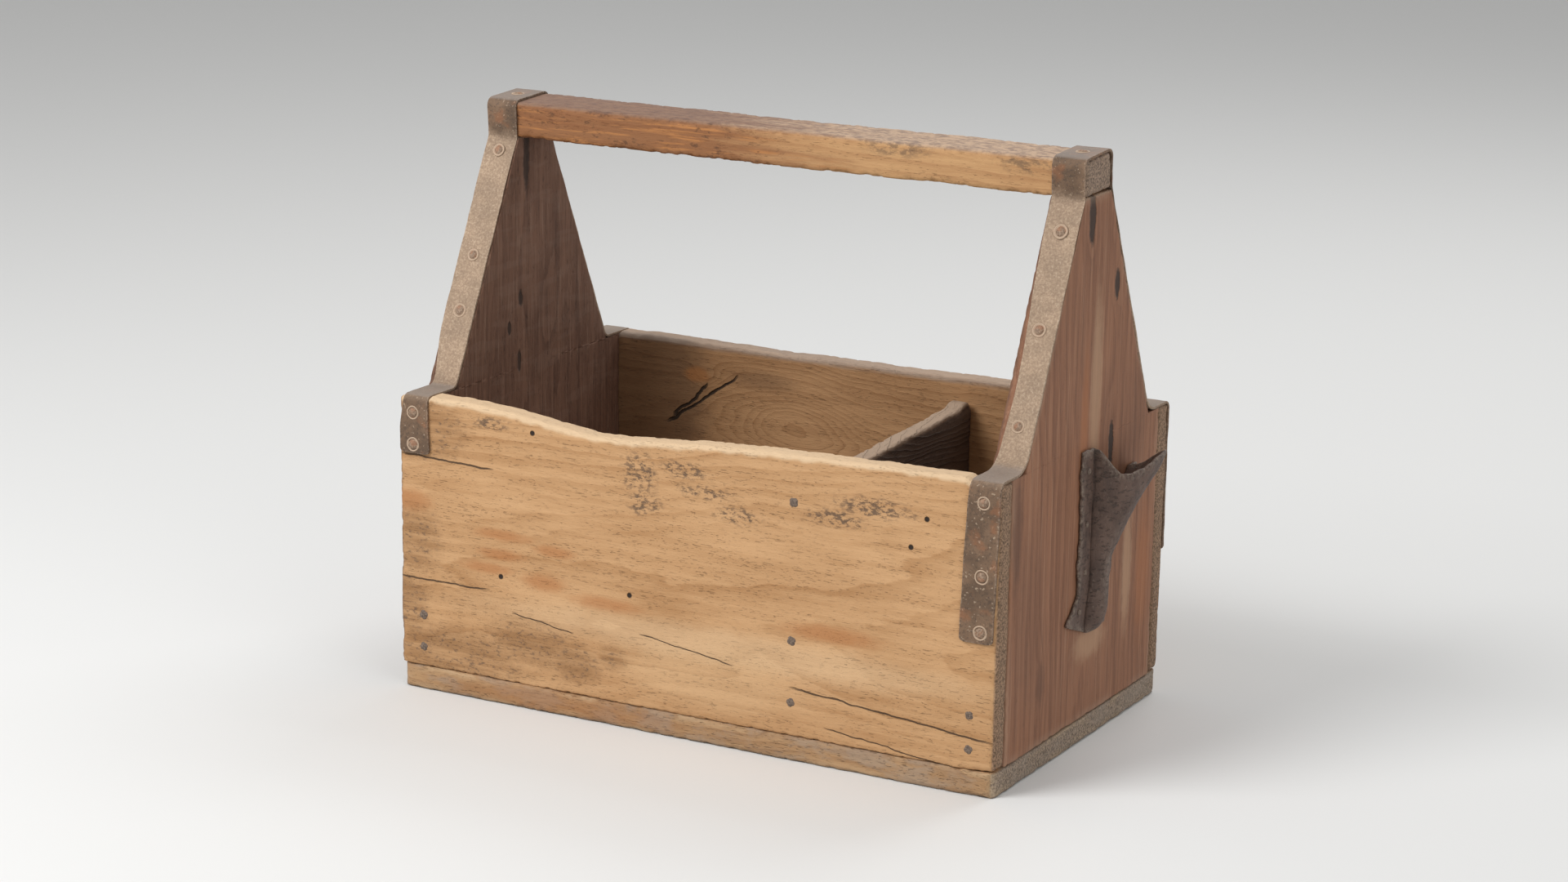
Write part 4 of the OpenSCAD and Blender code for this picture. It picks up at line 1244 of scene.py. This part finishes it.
# %% Model one head of each kind
def turned_head(name, profile, sides, squareness=0.0, ring_from=99):
    """A head turned from a profile of radius and height. squareness draws in four flats."""
    points, faces, ring = [], [], []
    for row, (radius, height) in enumerate(profile):
        for k in range(sides):
            angle = 2 * math.pi * k / sides
            shrink = 1 - squareness * (1 - abs(math.cos(2 * angle)) ** 0.5)
            wide = radius * shrink
            points.append((wide * math.cos(angle), wide * math.sin(angle), height))
            ring.append(1.0 if row >= ring_from else 0.0)
    for row in range(len(profile) - 1):
        for k in range(sides):
            a, b = row * sides + k, row * sides + (k + 1) % sides
            faces.append((b, a, a + sides, b + sides))
    faces.append(tuple(range(sides)))
    faces.append(tuple(reversed(range((len(profile) - 1) * sides, len(profile) * sides))))
    mesh = bpy.data.meshes.new(name)
    mesh.from_pydata([tuple(c * MM for c in p) for p in points], [], faces)
    mesh.attributes.new("ring", "FLOAT", "POINT").data.foreach_set("value", ring)
    made = bpy.data.objects.new(name, mesh)
    scene.collection.objects.link(made)
    return made


BOARD_PROFILE = [(0.9, 0.75), (2.4, 0.65), (3.5, 0.35), (3.9, -0.2), (1.3, -0.6), (1.2, -9),
                 (0.3, -14)]
STRAP_PROFILE = [(0.9, 1.15), (2.3, 0.95), (3.1, 0.45), (3.4, -0.05), (4.1, -0.1), (4.5, 0.35),
                 (4.9, 0.4), (5.4, -0.1), (5.0, -0.5), (1.2, -1.0), (1.2, -12), (0.3, -18)]
TACK_PROFILE = [(0.7, 1.3), (1.6, 1.05), (2.3, 0.5), (2.5, -0.1), (0.7, -0.4), (0.7, -7),
                (0.1, -9)]
HEADS = {
    "board": turned_head("board_head", BOARD_PROFILE, 16, 0.18),
    "strap": turned_head("strap_head", STRAP_PROFILE, 20, 0.06, ring_from=4),
    "tack": turned_head("tack_head", TACK_PROFILE, 14),
}
print("heads:", {key: len(head.data.polygons) for key, head in HEADS.items()})

# %% The tree that puts a nail on every place
def nailing_tree():
    inputs = {"Head": "Object", "Spread": "Float", "Seed": "Int", "Finish": "Material"}
    tree, bench, given = new_tree("drive_nails", inputs)
    head = bench.node("GeometryNodeObjectInfo", {}, {"Object": given["Head"]}, "Geometry")
    settings = {"data_type": "FLOAT_VECTOR"}
    facing = bench.node("GeometryNodeInputNamedAttribute", settings, {"Name": "facing"})
    aligned = bench.node("FunctionNodeAlignRotationToVector", {"axis": "Z"}, {"Vector": facing})
    spin = bench.node("FunctionNodeRandomValue", {"data_type": "FLOAT"},
                      {2: 0.0, 3: 2 * math.pi, "Seed": given["Seed"]}, 1)
    twist = bench.node("FunctionNodeAxisAngleToRotation", {}, {"Axis": (0, 0, 1), "Angle": spin})
    turn = bench.node("FunctionNodeRotateRotation", {"rotation_space": "LOCAL"},
                      {"Rotation": aligned, "Rotate By": twist})
    sizes = {2: 1 - given["Spread"], 3: 1 + given["Spread"], "Seed": given["Seed"] + 1}
    size = bench.node("FunctionNodeRandomValue", {"data_type": "FLOAT"}, sizes, 1)
    inputs = {"Points": given["Geometry"], "Instance": head, "Rotation": turn, "Scale": size}
    end_tree(bench, bench.node("GeometryNodeInstanceOnPoints", {}, inputs), given["Finish"])
    return tree


NAILING = nailing_tree()


def loose_parts(node):
    """The separate solids of a node, each as an array of its corner points in millimetres."""
    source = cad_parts[node].data
    points = np.round(np.array([v.co for v in source.vertices]) / MM, 3)
    unique, index = np.unique(points, axis=0, return_inverse=True)
    index = index.ravel()
    parent = list(range(len(unique)))

    def root(k):
        while parent[k] != k:
            parent[k] = parent[parent[k]]
            k = parent[k]
        return k

    for edge in source.edges:
        a, b = (root(index[v]) for v in edge.vertices)
        parent[a] = b
    groups = {}
    for k in range(len(unique)):
        groups.setdefault(root(k), []).append(unique[k])
    return [np.array(group) for group in groups.values()]


def nail_places(node):
    """Where each nail's head sits and which way it faces, measured on its solid."""
    places = []
    for points in loose_parts(node):
        middle = points.mean(axis=0)
        _, _, axes = np.linalg.svd(points - middle)
        run = (points - middle) @ axes[0]
        wide = np.linalg.norm((points - middle) - np.outer(run, axes[0]), axis=1)
        facing = axes[0] if run[wide.argmax()] > 0 else -axes[0]
        top = ((points - middle) @ facing).max()
        near = points[(points - middle) @ facing > top - 0.3]
        centre = near.mean(axis=0)
        places.append((centre, facing))
    return places


def nails(name, node, kind, finish, lift, spread=0.08, seed=1, roll=False):
    """All nails of one node. lift moves the heads out from, or into, the surface."""
    places = nail_places(node)
    spots = np.array([place + facing * lift for place, facing in places])
    if roll:
        spots = settled(spots)
    mesh = bpy.data.meshes.new(name)
    mesh.from_pydata((spots * MM).tolist(), [], [])
    facing = mesh.attributes.new("facing", "FLOAT_VECTOR", "POINT")
    facing.data.foreach_set("vector", np.array([f for _, f in places], np.float32).ravel())
    points = bpy.data.objects.new(name, mesh)
    scene.collection.objects.link(points)
    settings = {"Head": HEADS[kind], "Spread": spread, "Seed": seed, "Finish": finish}
    driven = run_tree(NAILING, points, settings)
    stand_in(driven, node)
    print(node, "has", len(places), "nails")


HEAD_THICK = 1.2
NAIL_ROWS = [
    ("bottom_nails", "board", NAIL_FINISH, 0.2),
    ("front_corner_nails", "board", NAIL_FINISH, -0.25),
    ("back_corner_nails", "board", NAIL_FINISH, -0.25),
    ("front_divider_nails", "board", NAIL_FINISH, -0.25),
    ("back_divider_nails", "board", NAIL_FINISH, -0.25),
    ("left_strap_nails", "strap", STRAP_NAIL_FINISH, 0),
    ("right_strap_nails", "strap", STRAP_NAIL_FINISH, 0),
    ("sheath_tacks", "tack", NAIL_FINISH, 0.1),
]
FIRST_NAIL_SEED = 31
for row, (node, kind, finish, rise) in enumerate(NAIL_ROWS):
    nails(node[:-1] + "_heads", node, kind, finish, rise - HEAD_THICK,
          seed=FIRST_NAIL_SEED + row, roll=kind == "strap")
for head in HEADS.values():
    bpy.data.objects.remove(head)

# %% [markdown]
# ## The leather sheath
#
# The sheath was one piece of thick harness leather, bent round a tool and tacked down on both
# sides. It has dried hard: the flaps are ragged, the mouth stands open and sags, one corner of
# the lip has curled out, and the foot is pinched flat. A grid of points follows those forms by
# formula, then Solidify gives it thickness and Subdivision rounds it.

# %% Paint the leather
SHEATH_LOW = span("leather_sheath")[0]


def paint_leather(bench, p):
    grain = bench.cells(p.stretched(1 / 1.6, 1 / 1.6, 1 / 2.2))
    cloud = bench.noise(p.stretched(1 / 14, 1 / 14, 1 / 22), detail=4, roughness=0.6)
    fine = bench.noise(p.stretched(1 / 2.0, 1 / 2.0, 1 / 3.5), detail=4, roughness=0.7)
    colour = bench.mix(cloud.smooth(0.35, 0.65), (0.075, 0.043, 0.031), (0.125, 0.075, 0.055))
    colour = bench.mix(fine.smooth(0.55, 0.72) * 0.5, colour, (0.21, 0.155, 0.12))
    crest = bench.attribute("crest")
    colour = bench.mix(crest * fine.smooth(0.35, 0.6) * 0.6, colour, (0.24, 0.185, 0.15))
    ragged_edge = bench.attribute("edge")
    colour = bench.mix(ragged_edge * fine.smooth(0.4, 0.62) * 0.75, colour, (0.27, 0.215, 0.165))
    # Painted shade: the groove beside the tube, kept as deep, is darkened almost to black.
    deep = bench.attribute("deep")
    colour = bench.mix(deep * 0.8, colour, (0.018, 0.012, 0.01))
    cracks = bench.noise(p.stretched(1 / 6, 1 / 6, 1 / 2.4), detail=4, roughness=0.7)
    cracks = cracks.smooth(0.44, 0.38)
    colour = bench.mix(cracks * 0.5, colour, (0.03, 0.02, 0.015))
    height = grain * 0.4 + fine * 0.6 - cracks * 0.8 + ragged_edge * fine
    return {"Base Color": colour, "Roughness": 0.5 + fine * 0.25, "height": height, "depth": 0.35}


LEATHER_FINISH = new_finish("sheath_leather", paint_leather)

# %% Shape the sheath
LEATHER = 3.0
SHEATH_FOOT = SHEATH_LOW[2]
SHEATH_MOUTH = RIM - 24
ARC = 40
ROWS = 64
FLAP = 8
SEAM = 3.0


def ease(t):
    t = np.clip(t, 0, 1)
    return t * t * (3 - 2 * t)


def sheath_form(u, v):
    """A point of the leather's middle. u runs 0 to 1 along the arc with the flaps at both ends,
    v from the foot, 0, to the lip, 1. Returns out, across and up."""
    phi = np.pi * np.clip(u, 0, 1)
    degrees = np.degrees(phi)
    lip = SHEATH_MOUTH + 10 * np.exp(-((degrees - 120) / 32) ** 2)
    lip += np.where(degrees < 90, 20 * np.abs(np.cos(phi)) ** 10, -8 * np.cos(phi) ** 2)
    foot = SHEATH_FOOT + np.where(u < 0, 12 * np.minimum(1, -u), 0)
    z = foot + (lip - foot) * v ** 1.15
    start = SHEATH_FOOT + 0.46 * (SHEATH_MOUTH - SHEATH_FOOT)
    flare = np.maximum(0, (z - start) / (SHEATH_MOUTH - start))
    toe = np.clip((z - SHEATH_FOOT) / 20, 0, 1)
    toe = np.sqrt(toe * (2 - toe))
    half = (18 + 52 * flare ** 1.15) / 2
    bulge = toe * (10 + 18 * flare)
    middle = SEAM - 6 * (1 - ease((z - SHEATH_FOOT) / 50)) + LEATHER + half
    ear = 0.16 * np.exp(-((degrees - 128) / 24) ** 2) * ease((z - SHEATH_MOUTH + 30) / 24)
    spread = (half + LEATHER / 2) * (1 + ear)
    out = LEATHER / 2 + bulge * (1 + ear) * np.sin(phi)
    across = middle - spread * np.cos(phi)
    foot_flap = 20 * (1 - ease((z - SHEATH_FOOT - 8) / 24))
    left = np.minimum(1, np.maximum(0, -u))
    right = np.minimum(1, np.maximum(0, u - 1))
    seam_left = middle - spread
    seam_right = middle + half + LEATHER
    across = np.where(u < 0, seam_left + left * (SEAM - 19 - foot_flap - seam_left), across)
    across = np.where(u > 1, seam_right + right * 12, across)
    return out, across, z


def sheath_mesh():
    left = -np.linspace(1, 1 / FLAP, FLAP)
    right = 1 + np.linspace(1 / 5, 1, 5)
    u = np.concatenate([left, np.linspace(0, 1, ARC + 1), right])
    v = np.linspace(0, 1, ROWS + 1)
    grid_u, grid_v = np.meshgrid(u, v)
    out, across, z = sheath_form(grid_u, grid_v)
    points = np.stack([RIGHT_FACE + SEAT_GAP + out, across, z], 2).reshape(-1, 3)
    flat_u, flat_v = grid_u.ravel(), grid_v.ravel()
    flap = (flat_u < 0) | (flat_u > 1)
    wave = ragged(points, 16, 41)
    points[:, 0] += np.where(flap, 0.6 * np.abs(wave), 1.3 * wave * np.minimum(1, flat_v * 3))
    # A groove beside the tube, where the leather dips to the board
    groove = np.exp(-((flat_u + 0.02) / 0.05) ** 2)
    points[:, 0] -= 0.6 * groove
    # Ragged outline of the flaps and the lip
    far = np.clip(-flat_u, 0, 1) ** 3
    points[:, 1] += far * 2.2 * ragged(points, 7, 42)
    top = np.clip((flat_v - 0.9) / 0.1, 0, 1) ** 2
    points[:, 2] += top * 1.8 * ragged(points, 6, 43)
    columns, rows = len(u), len(v)
    index = np.arange(columns * rows).reshape(rows, columns)
    loop = [index[:-1, :-1], index[:-1, 1:], index[1:, 1:], index[1:, :-1]]
    faces = np.stack([part.ravel() for part in loop], 1)
    from_edges = [flat_v * 14, (1 - flat_v) * 22, (flat_u + 1) * 4, (2 - flat_u) * 4]
    edge = np.clip(1 - np.minimum.reduce(from_edges), 0, 1)
    crest = np.exp(-((flat_u - 0.42) / 0.12) ** 2) * np.clip(1 - np.abs(flat_v - 0.42) / 0.35, 0, 1)
    # deep carries the painted shade of the groove beside the tube.
    numbers = {"edge": edge, "crest": crest, "deep": groove * 0.9}
    piece = mesh_piece("leather_sheath_dried", points, faces, numbers)
    thick = piece.modifiers.new("thickness", "SOLIDIFY")
    thick.thickness = (LEATHER - 0.2) * MM
    thick.offset = 0
    round_off = piece.modifiers.new("round", "SUBSURF")
    round_off.levels = round_off.render_levels = 1
    piece.data.materials.append(LEATHER_FINISH)
    return piece


sheath = sheath_mesh()
stand_in(sheath, "leather_sheath")
